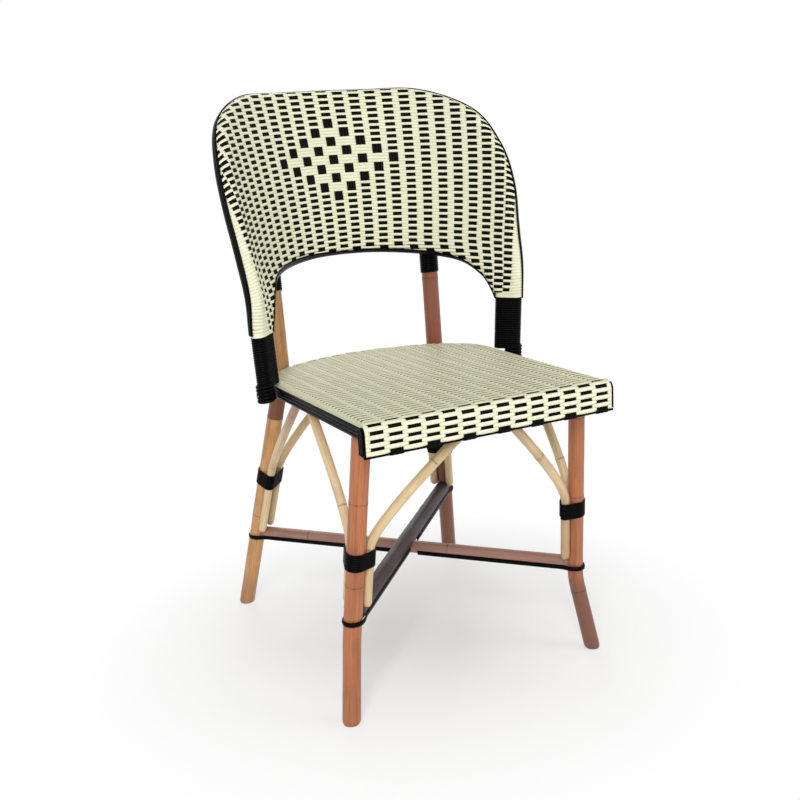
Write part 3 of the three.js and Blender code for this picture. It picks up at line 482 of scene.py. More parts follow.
def seat_half(y):
    share = (y + SEAT_FRONT_REACH) / (SEAT_SHOULDER_REACH + SEAT_FRONT_REACH)
    return SEAT_FRONT_HALF + (SEAT_SHOULDER_HALF - SEAT_FRONT_HALF) * share


def seat_rear(angle, offset):
    """Rear edge of the seat at an angle from +X, moved outward."""
    normal = unit(np.stack([np.cos(angle) / SEAT_SHOULDER_HALF, np.sin(angle) / SEAT_DEPTH], -1))
    edge = np.stack([SEAT_SHOULDER_HALF * np.cos(angle), SEAT_SHOULDER_REACH + SEAT_DEPTH * np.sin(angle)], -1)
    return edge + normal * offset


def seat_outline(offset, front_y, steps=160):
    arc = seat_rear(np.linspace(math.pi, 0, steps), offset)
    front_x = seat_half(front_y) + offset
    return np.vstack([[(-front_x, front_y)], arc, [(front_x, front_y)]])


# Back surface
SPRING_HEIGHT = SEAT_HEIGHT + SPRING_RISE
TRIM_BOTTOM = SEAT_HEIGHT - SEAT_TRIM_DROP - SEAT_TRIM_HEIGHT
LASHING_RADIUS = HOOP_RADIUS + GAP + LASHING_THICKNESS
HOOP_END_X = seat_half(SIDE_REACH + LASHING_RADIUS) + GAP + SEAT_TRIM_THICKNESS + GAP + LASHING_RADIUS
HOOP_SPRING_X = (HOOP_END_X + HOOP_FLARE) * HOOP_SHARES[0][0]
SIDE_SLOPE = (HOOP_SPRING_X - HOOP_END_X) / (SPRING_HEIGHT - TRIM_BOTTOM)
POLE_SPACING = HOOP_RADIUS + GAP + ARCH_RADIUS
ARCH_SPRING_X = HOOP_SPRING_X - POLE_SPACING * math.cos(SIDE_TURN)


def barrel_y(x, z):
    rise = z - SEAT_HEIGHT - BARREL_RISE
    middle = BARREL_REACH + LEAN_SHARE * rise + rise**2 / LEAN_GROWTH
    rounded = middle - x**2 / (BARREL_SPREAD + FLARE_SHARE * rise) * (1 + (x / EDGE_REACH) ** 2)
    flat = SIDE_REACH + math.tan(SIDE_TURN) * (HOOP_SPRING_X - np.abs(x))
    return flat + (rounded - flat) * smoothstep((z - SPRING_HEIGHT) / BLEND_RISE)


def back_point(xz):
    x, z = xz[..., 0], xz[..., 1]
    return np.stack([x, barrel_y(x, z), z], -1)


def slope_across(x, z):
    return (barrel_y(x + GAP, z) - barrel_y(x - GAP, z)) / (2 * GAP)


def back_normal(xz):
    x, z = xz[..., 0], xz[..., 1]
    slope_up = (barrel_y(x, z + GAP) - barrel_y(x, z - GAP)) / (2 * GAP)
    return unit(np.stack([-slope_across(x, z), np.ones_like(x), -slope_up], -1))


def side_foot(x, z):
    return vec(x - SIDE_SLOPE * (SPRING_HEIGHT - z), z)


def crown(half, rise, shares, count=150):
    return spline([(half * across, SPRING_HEIGHT + rise * up) for across, up in shares], count)


def rim_outline(spring_x, rise, shares, foot_z):
    """The whole outline of a bent pole of the back, from a foot height at the left round to the right."""
    half = np.vstack([side_foot(spring_x, foot_z), crown(spring_x / shares[0][0], rise, shares)])
    return np.vstack([half * vec(-1, 1), half[-2::-1]])


SIDE_BINDING_TOP = SEAT_HEIGHT + SIDE_BINDING_LENGTH
HOOP_LINE = rim_outline(HOOP_SPRING_X, HOOP_RISE, HOOP_SHARES, SEAT_HEIGHT - HOOP_TAIL_DROP)
ARCH_LINE = rim_outline(ARCH_SPRING_X, ARCH_RISE, ARCH_SHARES, SEAT_HEIGHT + GAP)


class Rim:
    """A bent pole of the back as the woven sheet sees it: stations with directions to the rear and away."""

    def __init__(self, line, radius, outward):
        fine = resample(line, step=1.0)
        self.xz = resample(fine[fine[:, 1] >= SIDE_BINDING_TOP - 12], step=2.0)
        self.radius = radius
        self.point = back_point(self.xz)
        t = tangents(self.point)
        rear = back_normal(self.xz)
        self.rear, self.away = square_to(rear, t), unit(np.cross(t, rear)) * outward

    def nearest(self, points):
        """(station index, share to the next, distance) of points on the back's surface."""
        a, d = self.point[:-1], np.diff(self.point, axis=0)
        offset = points[:, None] - a[None]
        share = np.clip(np.sum(offset * d, 2) / np.sum(d * d, 1), 0, 1)
        gap = np.linalg.norm(offset - share[..., None] * d, axis=2)
        index = gap.argmin(1)
        row = np.arange(len(points))
        return index, share[row, index], gap[row, index]

    def wrap(self, index, share, angle, lift):
        """A point and its normal on the sheet where it turns round the pole."""
        share, angle = np.reshape(share, (-1, 1)), np.reshape(angle, (-1, 1))
        pick = lambda values: values[index] * (1 - share) + values[index + 1] * share
        normal = -unit(pick(self.rear)) * np.cos(angle) + unit(pick(self.away)) * np.sin(angle)
        return pick(self.point) + normal * np.reshape(self.radius + lift, (-1, 1)), normal


hoop_rim = Rim(HOOP_LINE, HOOP_RADIUS, 1)
arch_rim = Rim(ARCH_LINE, ARCH_RADIUS, -1)
BINDING_EDGE = back_point(side_foot(HOOP_SPRING_X, SIDE_BINDING_TOP))
BINDING_AXIS = unit(back_point(side_foot(HOOP_SPRING_X, SIDE_BINDING_TOP + 5)) - BINDING_EDGE)


def back_sheet(xz):
    """Points and normals of the woven sheet for places on the back's surface, and where the sheet reaches.
    Beyond a pole's middle line the sheet turns round that pole."""
    x, z = np.abs(xz[:, 0]), xz[:, 1]
    hoop_reach, arch_reach = half_width(hoop_rim.xz, z), half_width(arch_rim.xz, z)
    beyond = (hoop_reach < 0) | (x > hoop_reach)
    below = (arch_reach >= 0) & (x < arch_reach) & ~beyond
    surface = back_point(xz)
    normals = -back_normal(xz)
    points = surface + normals * (HOOP_RADIUS + BACK_MID_LIFT)
    keep = np.ones(len(xz), bool)
    for rim, chosen, limit in ((hoop_rim, beyond, HOOP_WRAP), (arch_rim, below, ARCH_WRAP)):
        if chosen.any():
            index, share, distance = rim.nearest(surface[chosen])
            turn = distance / (rim.radius + BACK_MID_LIFT)
            points[chosen], normals[chosen] = rim.wrap(index, share, turn, BACK_MID_LIFT)
            keep[chosen] = turn < limit
    upright = (np.column_stack([np.abs(points[:, 0]), points[:, 1:]]) - BINDING_EDGE) @ BINDING_AXIS
    foot = np.where(xz[:, 0] > 0, BINDING_EXTRA[RIGHT], BINDING_EXTRA[LEFT])
    return points, normals, keep & (upright > foot + WOVEN_FOOT_RISE)


def runs(flags):
    """Start and end of each stretch of true values."""
    edges = np.flatnonzero(np.diff(np.concatenate([[0], flags.astype(int), [0]])))
    return [(a, b) for a, b in zip(edges[::2], edges[1::2]) if b - a > 3]


def row_height(x_at, height):
    """Height on the back's surface of a weft, which dips a little toward both sides."""
    z = height
    for _ in range(6):
        x = x_at(z)
        depth = barrel_y(0.0, z) - barrel_y(x, z)
        lift = (HOOP_RADIUS + BACK_MID_LIFT) * back_normal(np.stack([x, z], -1))[..., 2]
        z = height - BACK_WEFT_DIP * depth + lift
    return z


def column_reach(z):
    return BACK_COLUMN_REACH * (1 + BACK_COLUMN_FLARE * (z - DIAMOND_HEIGHT))


def column_x(column):
    """How a black column's distance from the middle line changes with height."""
    share = math.sin((LEFT_COLUMN if column == -BACK_COLUMNS else column) * BACK_COLUMN_TURN)
    return lambda z: column_reach(z) * share


def column_width(column, z):
    """Width of a black column; the last two on the left grow narrow toward the foot."""
    full = 2 * math.sin(BACK_COLUMN_TURN / 2) * column_reach(z) * BACK_STRIP_SHARE
    if column > 1 - BACK_COLUMNS:
        return full
    narrow = NARROW_SHARE + (1 - NARROW_SHARE) * smoothstep((z - NARROW_HEIGHT) / NARROW_RISE)
    return full * (LEFT_COLUMN_WIDTH if column == -BACK_COLUMNS else 1.0) * narrow


def back_shows_black(row, column):
    """True where the cream strip of a row dips under the black column."""
    size = abs(column)
    if size <= 4 and abs(row) <= 13 - 3 * size:
        return any(abs(row - centre) <= 1 for centre in range(3 * size - 12, 13 - 3 * size, 6))
    return (size > 4 or abs(row) != 14 - 3 * size) and (row + size) % 2 == 1


BACK_COLUMN_NUMBERS = range(-BACK_COLUMNS, BACK_COLUMNS + 1)
# The rows run from just below the bindings' tops to past the hoop, where the sheet ends them
BACK_ROWS = range(int((SIDE_BINDING_TOP - 14 - DIAMOND_HEIGHT) / BACK_WEFT_PITCH),
                  int((SPRING_HEIGHT + HOOP_RISE + 40 - DIAMOND_HEIGHT) / BACK_WEFT_PITCH))
BACK_X = np.arange(-264, 264.1, 1.5)


def back_weft(row):
    """Places along one cream strip of the back, with its lift and its width share at each."""
    height = DIAMOND_HEIGHT + row * BACK_WEFT_PITCH
    z = row_height(lambda _: BACK_X, np.full(len(BACK_X), height))
    lengths = path_lengths(back_point(np.column_stack([BACK_X, z])))
    even = np.linspace(0, lengths[-1], int(lengths[-1] / 2.0))
    line = np.column_stack([np.interp(even, lengths, BACK_X), np.interp(even, lengths, z)])
    crossings = []
    for column in BACK_COLUMN_NUMBERS:
        place = column_x(column)
        middle = np.interp(place(float(row_height(place, height))), BACK_X, lengths)
        half = 0.5 * column_width(column, height) + BACK_COLUMN_ROOM
        below, here, above = (back_shows_black(row + step, column) for step in (-1, 0, 1))
        over = WEFT_PLAIN_SHARE + (BACK_OVER_SHARE - WEFT_PLAIN_SHARE) * (below + above) / 2
        crossings.append((middle, half, None if here else over))
    return line, *weft_shape(even, crossings)


def weft_shape(places, crossings):
    """Lift and width share along a cream strip. Each crossing with a column has its middle, its half width and
    the share of a strip that goes over it, or None for one that goes under."""
    where, lift, share = [], [], []
    for middle, half, over in crossings:
        where += [middle - half - WEFT_EASE, middle - half, middle + half, middle + half + WEFT_EASE]
        lift += [WEFT_FLAT_LIFT] + [-OVER_LIFT if over is None else OVER_LIFT] * 2 + [WEFT_FLAT_LIFT]
        share += [WEFT_PLAIN_SHARE] + [WEFT_UNDER_SHARE if over is None else over] * 2 + [WEFT_PLAIN_SHARE]
    return np.interp(places, where, lift), np.interp(places, where, share)


def strand_shifts(width):
    """Where the strands of a black strip lie across it."""
    return [(strand - (STRANDS - 1) / 2) / STRANDS * width for strand in range(STRANDS)]


def weave_back():
    upper, lower, black = Parts(), Parts(), Parts()
    for row in BACK_ROWS:
        line, lift, share = back_weft(row)
        points, normals, keep = back_sheet(line)
        parts = upper if DIAMOND_HEIGHT + row * BACK_WEFT_PITCH > SPRING_HEIGHT + ARCH_RISE else lower
        tint = rng.uniform()
        for a, b in runs(keep):
            ribbon(parts, points[a:b], normals[a:b], lift[a:b], BACK_WEFT_PITCH * share[a:b], CANE_THICKNESS,
                   tint, BACK_CROWN)
    foot_courses(lower)
    upper.piece("back_cream_upper", "cane_cream", "back_weave")
    lower.piece("back_cream_lower", "cane_cream", "back_weave")
    numbers = range(BACK_ROWS[0] - 1, BACK_ROWS[-1] + 2)
    heights = DIAMOND_HEIGHT + BACK_WEFT_PITCH * np.arange(numbers[0], numbers[-1], 1 / 3)
    rows = (heights - DIAMOND_HEIGHT) / BACK_WEFT_PITCH
    for column in BACK_COLUMN_NUMBERS:
        place = column_x(column)
        z = row_height(place, heights)
        x, width = place(z), column_width(column, z)
        levels = [UNDER_LIFT if back_shows_black(row, column) else -UNDER_LIFT for row in numbers]
        lift = np.interp(rows, numbers, levels)
        for shift in strand_shifts(width):
            across = x + shift / np.hypot(1, slope_across(x, z))
            points, normals, keep = back_sheet(np.column_stack([across, z]))
            for a, b in runs(keep):
                ribbon(black, points[a:b], normals[a:b], lift[a:b], width[a:b] / STRANDS * STRAND_FILL,
                       CANE_THICKNESS, rng.uniform(), COLUMN_CROWN)
    black.piece("back_black", "cane_black", "back_weave")


def foot_courses(parts):
    """The lowest cream courses on each side: they go round both poles, on top of the black binding."""
    across = back_point(side_foot(ARCH_SPRING_X, SIDE_BINDING_TOP)) - BINDING_EDGE
    path, normals = belt_path(BINDING_EDGE, BINDING_AXIS, across, BOTH_POLES, BACK_MID_LIFT,
                              np.arange(BELT_POINTS + 2))
    for side in (LEFT, RIGHT):
        flip = vec(side, 1, 1)
        for rise in FOOT_COURSE_RISES:
            course = (path + BINDING_AXIS * (BINDING_EXTRA[side] + rise)) * flip
            ribbon(parts, course, normals * flip, 0.1, BACK_WEFT_PITCH, CANE_THICKNESS, rng.uniform(),
                   FOOT_COURSE_CROWN)


def edge_strip(name, node, rim, angle, turn, width, thickness):
    """Black canes nailed side by side along a rim."""
    parts = Parts()
    first = int(np.argmax(rim.xz[:, 1] >= SIDE_BINDING_TOP + 3))
    index = np.arange(first, len(rim.point) - first - 1)
    reach = rim.radius + BACK_MID_LIFT + EDGE_STRIP_LIFT
    lean = turn * rim.point[index, 0] / np.abs(rim.point[:, 0]).max()
    for shift in strand_shifts(width):
        points, normals = rim.wrap(index, np.zeros(len(index)), angle + lean + shift / reach, reach - rim.radius)
        ribbon(parts, points, normals, 0.0, width / STRANDS * TURN_FILL, thickness, EDGE_TINT, EDGE_CROWN)
    parts.piece(name, "cane_black", node)


# Legs
def rounded(before, corner, after, reach):
    return bezier(corner + unit(before - corner) * reach, corner, corner + unit(after - corner) * reach, 12)


def front_leg_plan():
    y = -(SEAT_FRONT_REACH - FRONT_LEG_SETBACK)
    x = seat_half(y) - RAIL_LINE - FRONT_LEG_INSET
    knee = vec(x + FRONT_LEG_SPLAY, y + FRONT_LEG_RAKE, KNEE_HEIGHT)
    top = vec(x, y, RAIL_HEIGHT - RAIL_RADIUS + FRONT_LEG_SADDLE)
    foot = vec(knee[0] + FOOT_KICK, knee[1] - FOOT_KICK, 0)
    path = np.vstack([foot, rounded(foot, knee, top, KNEE_ROUND), top])
    return {"path": path, "low": path[-2], "high": top}


def rear_leg_plan(radius):
    plan = seat_rear(POST_ANGLE, GAP + SEAT_TRIM_THICKNESS + GAP + radius)
    corner = vec(plan[0], plan[1], SEAT_HEIGHT - REAR_BEND_DROP)
    foot = vec(corner[0] + REAR_SPLAY, corner[1] + REAR_RAKE, 0)
    arch = crown(ARCH_SPRING_X, ARCH_RISE, ARCH_SHARES, 21)
    contact = arch[np.argmin(np.abs(arch[:, 0] - POST_ARCH_REACH))]
    behind = ARCH_RADIUS + 3 * BENT_GAP + BINDING_THICKNESS + GAP + radius
    seat = back_point(contact) + back_normal(contact) * behind
    top = line_at(corner, seat, seat[2] + POST_TOP_RISE)
    path = np.vstack([foot, rounded(foot, corner, top, REAR_BEND_ROUND), top])
    return {"path": path, "low": foot, "high": path[1], "corner": corner, "seat": seat, "top": top}


def make_leg(row, side):
    name = f"{row}_{SIDE_NAME[side]}"
    radius = LEG_RADIUS[name]
    plan = front_leg_plan() if row == "front" else rear_leg_plan(radius)
    leg = {key: mirror(value) if side == LEFT else value for key, value in plan.items()}
    inward = vec(-side, 0, 0), vec(0, 1 if row == "front" else -1, 0)
    return name, {**leg, "row": row, "side": side, "radius": radius, "inward": inward}


def stained(even, *stretches):
    """A pole's tone: an even share of the stained colour, and stretches that grow to their share between two
    heights."""
    return lambda z: even + sum(share * smoothstep((z - start) / (end - start)) for share, start, end in stretches)


def rear_left_tone(z):
    return 0.9 * ((z > 362) & (z < 440)) + 0.35 * smoothstep((90 - z) / 60)


LEGS = dict(make_leg(row, side) for row in ("front", "rear") for side in (LEFT, RIGHT))
# Each leg's slot, the heights of its growth rings, and its tone
LEG_LOOKS = {
    "front_left": ("rattan_orange", (330, 205), stained(0.1, (0.2, 120, 40))),
    "front_right": ("rattan_orange", (392, 262, 96), stained(0.2, (0.75, 150, 90))),
    "rear_left": ("rattan_tan", (362, 180), rear_left_tone),
    "rear_right": ("rattan_red", (362, 210, 566), stained(0, (0.8, 330, 210))),
}


def leg_at(leg, z):
    return line_at(leg["low"], leg["high"], z)


def make_legs():
    for name, leg in LEGS.items():
        slot, heights, tone = LEG_LOOKS[name]
        path = resample(leg["path"], step=3.0)
        knots = [float(np.interp(z, path[:, 2], path_lengths(path))) for z in heights]
        pole(f"leg_{name}", f"{leg['row']}_leg_{SIDE_NAME[leg['side']]}", path, leg["radius"], slot, knots, tone)


# Stretchers
STRETCHERS = (
    ("lower", "low", ("rear_left", "front_right"), LOW_HEIGHT, LOW_RADIUS, "rattan_mauve", (96, 352)),
    ("upper", "high", ("front_left", "rear_right"), LOW_HEIGHT + STRETCHER_STEP, HIGH_RADIUS, "rattan_grey",
     (150, 410)),
)
STRETCHER_HEIGHT = {name: height for _, _, legs, height, *_ in STRETCHERS for name in legs}


def stretcher_ends(legs, height):
    return [leg_at(LEGS[name], height) for name in legs]


def make_stretchers():
    for label, node, legs, height, radius, slot, knots in STRETCHERS:
        start, end = stretcher_ends(legs, height)
        along = unit(end - start)
        first, last = (LEGS[name]["radius"] - STRETCHER_BITE for name in legs)
        path = np.vstack([start + along * first, end - along * last])
        pole(f"stretcher_{label}", f"stretcher_{node}", path, radius, slot, knots)
    for _, _, legs, height, radius, *_ in reversed(STRETCHERS):
        ends = stretcher_ends(legs, height)
        for name, near, far in zip(legs, ends, reversed(ends)):
            strap(name, near, far, radius)


def strap(name, near, far, radius):
    """A black strip that loops round a leg and is nailed to the stretcher's two flanks."""
    along = unit((far - near) * vec(1, 1, 0))
    across = np.cross(UP, along)
    leg_radius, half = LEGS[name]["radius"], STRAP_THICKNESS / 2
    tail = math.sqrt(radius**2 - STRAP_DROP**2) + GAP + half
    loop = leg_radius + GAP + half
    centre = near - UP * STRAP_DROP
    reach = np.linalg.norm(far - near) / 2 - STRAP_TAIL_INSET
    shoulder = leg_radius + radius
    angles = np.linspace(math.pi / 2, 3 * math.pi / 2, 25)
    flank = np.vstack([
        resample([(reach, tail), (shoulder + 10, tail)], 12),
        spline([(shoulder + 10, tail), (shoulder - 3, tail), (6, loop + 0.2), (0, loop)], 14)[1:-1],
    ])
    bow = np.stack([loop * np.cos(angles), loop * np.sin(angles)], 1)
    plan = np.vstack([flank, bow, bow[:1] * vec(1, -1), flank[::-1] * vec(1, -1)])
    path = centre + plan[:, :1] * along + plan[:, 1:] * across
    parts = ribbon(Parts(), path, np.cross(tangents(path), UP), 0.0, STRAP_HEIGHT, STRAP_THICKNESS * STRAP_BODY,
                   STRAP_TINT, STRAP_CROWN)
    parts.piece(f"strap_{name}", "cane_black", f"stretcher_strap_{name}")


# Braces
# Share of the stained colour near the top and at the foot, where it isn't as on the other braces of its row
BRACE_STAINS = {"brace_front_right": (0.45, 0.5), "brace_front_left": (0.3, 0.15)}
ROW_STAINS = {"front": (0.1, 0.0), "rear": (0.75, 0.0)}
HIGH_STAIN_HEIGHTS, LOW_STAIN_HEIGHTS = (330, 420), (300, 240)


def brace_path(leg, direction, foot_z, top):
    bend_z = BINDING_HEIGHT[leg["row"]] + LEG_BINDING_LENGTH / 2
    axis = unit(leg["high"] - leg["low"])
    offset = square_to(direction, axis) * (leg["radius"] + GAP + BRACE_RADIUS)
    start, bend_start, corner = (leg_at(leg, z) + offset for z in (foot_z, bend_z, bend_z + BRACE_BEND_RISE))
    path = resample(np.vstack([start, bezier(bend_start, corner, top, 60)]), step=3.0)
    length = path_lengths(path)[-1]
    return resample(path, lengths=np.linspace(0, length - BRACE_TOP_TRIM, int(length / 3))), length


def make_braces():
    rear_x, rear_y = seat_rear(math.acos(REAR_BRACE_REACH / SEAT_SHOULDER_HALF), -RAIL_LINE)
    for name, leg in LEGS.items():
        row, side = leg["row"], leg["side"]
        front = row == "front"
        side_y = -SIDE_BRACE_FRONT_REACH if front else SIDE_BRACE_REAR_REACH
        plan = (FRONT_BRACE_REACH, -FRONT_RAIL_REACH) if front else (rear_x, rear_y)
        to_rail = vec(side * plan[0], plan[1], RAIL_HEIGHT)
        to_side = vec(side * (seat_half(side_y) - RAIL_LINE), side_y, RAIL_HEIGHT)
        for kind, direction, top in zip(("", "side_"), leg["inward"], (to_rail, to_side)):
            path, length = brace_path(leg, direction, STRETCHER_HEIGHT[name] + BRACE_FOOT_RISE, top)
            node = f"brace_{row}_{kind}{SIDE_NAME[side]}"
            knots = sorted(rng.uniform(0.2, 0.9, 2) * length)
            high, low = BRACE_STAINS.get(node, ROW_STAINS[row])
            pole(f"cane_{node}", node, path, BRACE_RADIUS, "rattan_straw", knots,
                 stained(0, (high, *HIGH_STAIN_HEIGHTS), (low, *LOW_STAIN_HEIGHTS)))


# Wound bindings
BELT_POINTS = 96
BOTH_POLES = [(0, 0, HOOP_RADIUS), (POLE_SPACING, 0, ARCH_RADIUS)]


def belt_path(centres, axis, across, circles, grow, steps):
    """Points and normals at steps along a belt pulled round circles, whose plane is square to an axis."""
    angles = circle(720)
    normals = np.stack([np.cos(angles), np.sin(angles)], 1)
    reach = np.stack([normals @ vec(x, y) + radius for x, y, radius in circles], 1)
    points = np.array([vec(*circles[k][:2]) + normal * (circles[k][2] + grow)
                       for k, normal in zip(reach.argmax(1), normals)])
    ring = resample(np.vstack([points, points[:1]]), BELT_POINTS + 1)[:-1]
    turn = np.roll(ring, -1, 0) - np.roll(ring, 1, 0)
    outward = unit(np.stack([turn[:, 1], -turn[:, 0]], 1))
    unit_x = square_to(across, axis)
    unit_y = np.cross(axis, unit_x)
    index = steps % BELT_POINTS
    return (centres + ring[index, :1] * unit_x + ring[index, 1:] * unit_y,
            outward[index, :1] * unit_x + outward[index, 1:] * unit_y)


def winding(name, node, low, high, across, circles, thickness=BINDING_THICKNESS, pitch=BINDING_PITCH):
    """Black cane wound in one helix round a belt outline, from low to high."""
    length, axis = np.linalg.norm(high - low), unit(high - low)
    turns = max(round(length / pitch), 2) - 1
    pitch = length / (turns + 1)
    steps = np.arange(turns * BELT_POINTS + 1)
    height = pitch / 2 + pitch * steps / BELT_POINTS
    path, normals = belt_path(low + height[:, None] * axis, axis, across, circles, GAP + thickness / 2, steps)
    parts = ribbon(Parts(), path, normals, 0.0, pitch * TURN_FILL, thickness * WINDING_BODY, rng.uniform(),
                   WINDING_CROWN)
    parts.piece(name, "cane_black", node)


def side_place(side, x, z):
    return back_point(side_foot(x, z)) * vec(side, 1, 1)


def make_bindings():
    for side in (LEFT, RIGHT):
        label = SIDE_NAME[side]
        place = lambda z: side_place(side, HOOP_SPRING_X, z)
        across = side_place(side, ARCH_SPRING_X, SEAT_HEIGHT) - place(SEAT_HEIGHT)
        winding(f"wound_side_{label}", f"side_binding_{label}", place(SEAT_HEIGHT - 4),
                place(SIDE_BINDING_TOP + BINDING_EXTRA[side]), across, BOTH_POLES)
        low = SEAT_HEIGHT - LASHING_DROP - LASHING_LENGTH - 2
        winding(f"wound_lashing_{label}", f"hoop_lashing_{label}", place(low), place(SEAT_HEIGHT + 6), across,
                [(0, 0, HOOP_RADIUS)], LASHING_THICKNESS, LASHING_PITCH)
    for name, leg in LEGS.items():
        low, high = (leg_at(leg, BINDING_HEIGHT[leg["row"]] + k * LEG_BINDING_LENGTH / 2) for k in (-1, 1))
        axis = unit(high - low)
        x_axis, sideways = (square_to(direction, axis) for direction in leg["inward"])
        spacing = leg["radius"] + GAP + BRACE_RADIUS
        side_x, side_y = (spacing * float(sideways @ direction) for direction in (x_axis, np.cross(axis, x_axis)))
        circles = [(0, 0, leg["radius"]), (spacing, 0, BRACE_RADIUS), (side_x, side_y, BRACE_RADIUS)]
        winding(f"wound_leg_{name}", f"leg_binding_{name}", low, high, x_axis, circles)
        if leg["row"] == "rear":
            label, z = SIDE_NAME[leg["side"]], leg["seat"][2] + POST_BINDING_RISE
            low, high = (line_at(leg["corner"], leg["top"], height) for height in (z - POST_BINDING_LENGTH, z))
            winding(f"wound_post_{label}", f"post_binding_{label}", low, high, vec(1, 0, 0), circles[:1])


# Seat frame and seat weave
SEAT_MID_LIFT = SEAT_WEAVE_THICKNESS + GAP - SEAT_WEFT_DEPTH
ROLL_RADIUS = RAIL_RADIUS + SEAT_MID_LIFT
ROLL_LENGTH = ROLL_RADIUS * math.pi / 2
APRON_LENGTH = RAIL_HEIGHT - APRON_BOTTOM
SEAT_START = -(ROLL_LENGTH + APRON_LENGTH)
SIDE_WRAP_WIDTH = RAIL_RADIUS + 0.5
SEAT_COLUMN_X = [SEAT_COLUMN_PITCH * (k - (SEAT_COLUMNS - 1) / 2) for k in range(SEAT_COLUMNS)]
RAIL_PLAN = seat_outline(-RAIL_LINE, -FRONT_RAIL_REACH, 400)


def make_rails():
    half = seat_half(-FRONT_RAIL_REACH) - RAIL_INSET - 2
    bow = seat_outline(-RAIL_LINE, -(FRONT_RAIL_REACH - RAIL_RADIUS - GAP))
    bow = resample(np.column_stack([bow, np.full(len(bow), RAIL_HEIGHT)]), step=6)
    pole("seat_frame_bow", "seat_bow", bow, RAIL_RADIUS, "rattan_plain", (260, 690))
    for label, node, reach, height, radius in (
        ("front", "front_rail", FRONT_RAIL_REACH, RAIL_HEIGHT, RAIL_RADIUS),
        ("apron", "apron_rail", APRON_RAIL_REACH, APRON_RAIL_HEIGHT, APRON_RAIL_RADIUS),
    ):
        path = [(-half, -reach, height), (half, -reach, height)]
        pole(f"seat_frame_{label}", node, path, radius, "rattan_plain", (120, 300))


def seat_profile(v):
    """(y, z, normal y, normal z) at distances along the seat from the top of the front roll.
    Beyond zero is the flat top, and below zero the roll and then the apron."""
    angle = np.clip(-v / ROLL_RADIUS, 0, math.pi / 2)
    y = -FRONT_RAIL_REACH - ROLL_RADIUS * np.sin(angle) + np.maximum(v, 0)
    z = RAIL_HEIGHT + ROLL_RADIUS * np.cos(angle) + np.minimum(v + ROLL_LENGTH, 0)
    return y, z, -np.sin(angle), np.cos(angle)


def seat_place(x, v):
    """Points and normals of the seat's sheet at widths and distances, of which one is a single number."""
    x, nx, y, z, ny, nz = np.broadcast_arrays(x, 0.0, *seat_profile(v))
    return np.column_stack([x, y, z]), np.column_stack([nx, ny, nz])


def rail_back(x):
    """Depth of the pole line behind the seat at a width."""
    half = RAIL_PLAN[(RAIL_PLAN[:, 0] >= 0) & (RAIL_PLAN[:, 1] >= SEAT_SHOULDER_REACH)]
    order = np.argsort(half[:, 0])
    return float(np.interp(abs(x), half[order, 0], half[order, 1]))


def seat_wrap(plan):
    """Points, normals and turns for plan points beyond the pole line: the sheet turns down round the pole."""
    a, d = RAIL_PLAN[:-1], np.diff(RAIL_PLAN, axis=0)
    places = []
    for p in plan:
        t = np.clip(np.sum((p - a) * d, 1) / np.maximum(np.sum(d * d, 1), 1e-9), 0, 1)
        near = a + d * t[:, None]
        gap = np.hypot(*(near - p).T)
        k = int(gap.argmin())
        tangent = d[k] / np.linalg.norm(d[k])
        out = vec(-tangent[1], tangent[0], 0)
        angle = gap[k] / ROLL_RADIUS
        normal = out * math.sin(angle) + UP * math.cos(angle)
        reach = out * SIDE_WRAP_WIDTH * math.sin(angle)
        places.append((vec(*near[k], RAIL_HEIGHT) + reach + UP * ROLL_RADIUS * math.cos(angle), normal, angle))
    points, normals, turns = zip(*places)
    return np.array(points), np.array(normals), np.array(turns)


def seat_weft_path(v):
    """Points, normals and widths of one cream strip of the seat, from under one side pole to under the other."""
    y = float(seat_profile(v)[0])
    reach = float(half_width(RAIL_PLAN, y)) if v > 0 else seat_half(-FRONT_RAIL_REACH) - GAP
    if reach < 0:
        x = np.arange(-150, 150.1, 2.7)
        points, normals, turns = seat_wrap(np.column_stack([x, np.full(len(x), y)]))
        keep = turns < REAR_WRAP_TURN
        return (points[keep], normals[keep], x[keep]) if keep.sum() > 3 else None
    x = np.linspace(-reach, reach, max(int(2 * reach / 1.9), 4))
    points, normals = seat_place(x, v)
    if v <= 0:
        return points, normals, x
    beyond = reach + np.arange(SEAT_WRAP_STEP, SEAT_WRAP_LENGTH, SEAT_WRAP_STEP)
    right, right_normals, turns = seat_wrap(np.column_stack([beyond, np.full(len(beyond), y)]))
    keep = turns < SIDE_WRAP_TURN
    right, right_normals, beyond = right[keep], right_normals[keep], beyond[keep]
    return (np.vstack([mirror(right[::-1]), points, right]),
            np.vstack([mirror(right_normals[::-1]), normals, right_normals]),
            np.concatenate([-beyond[::-1], x, beyond]))


def seat_shows_black(row, column):
    return (row + column) % 2 == 1


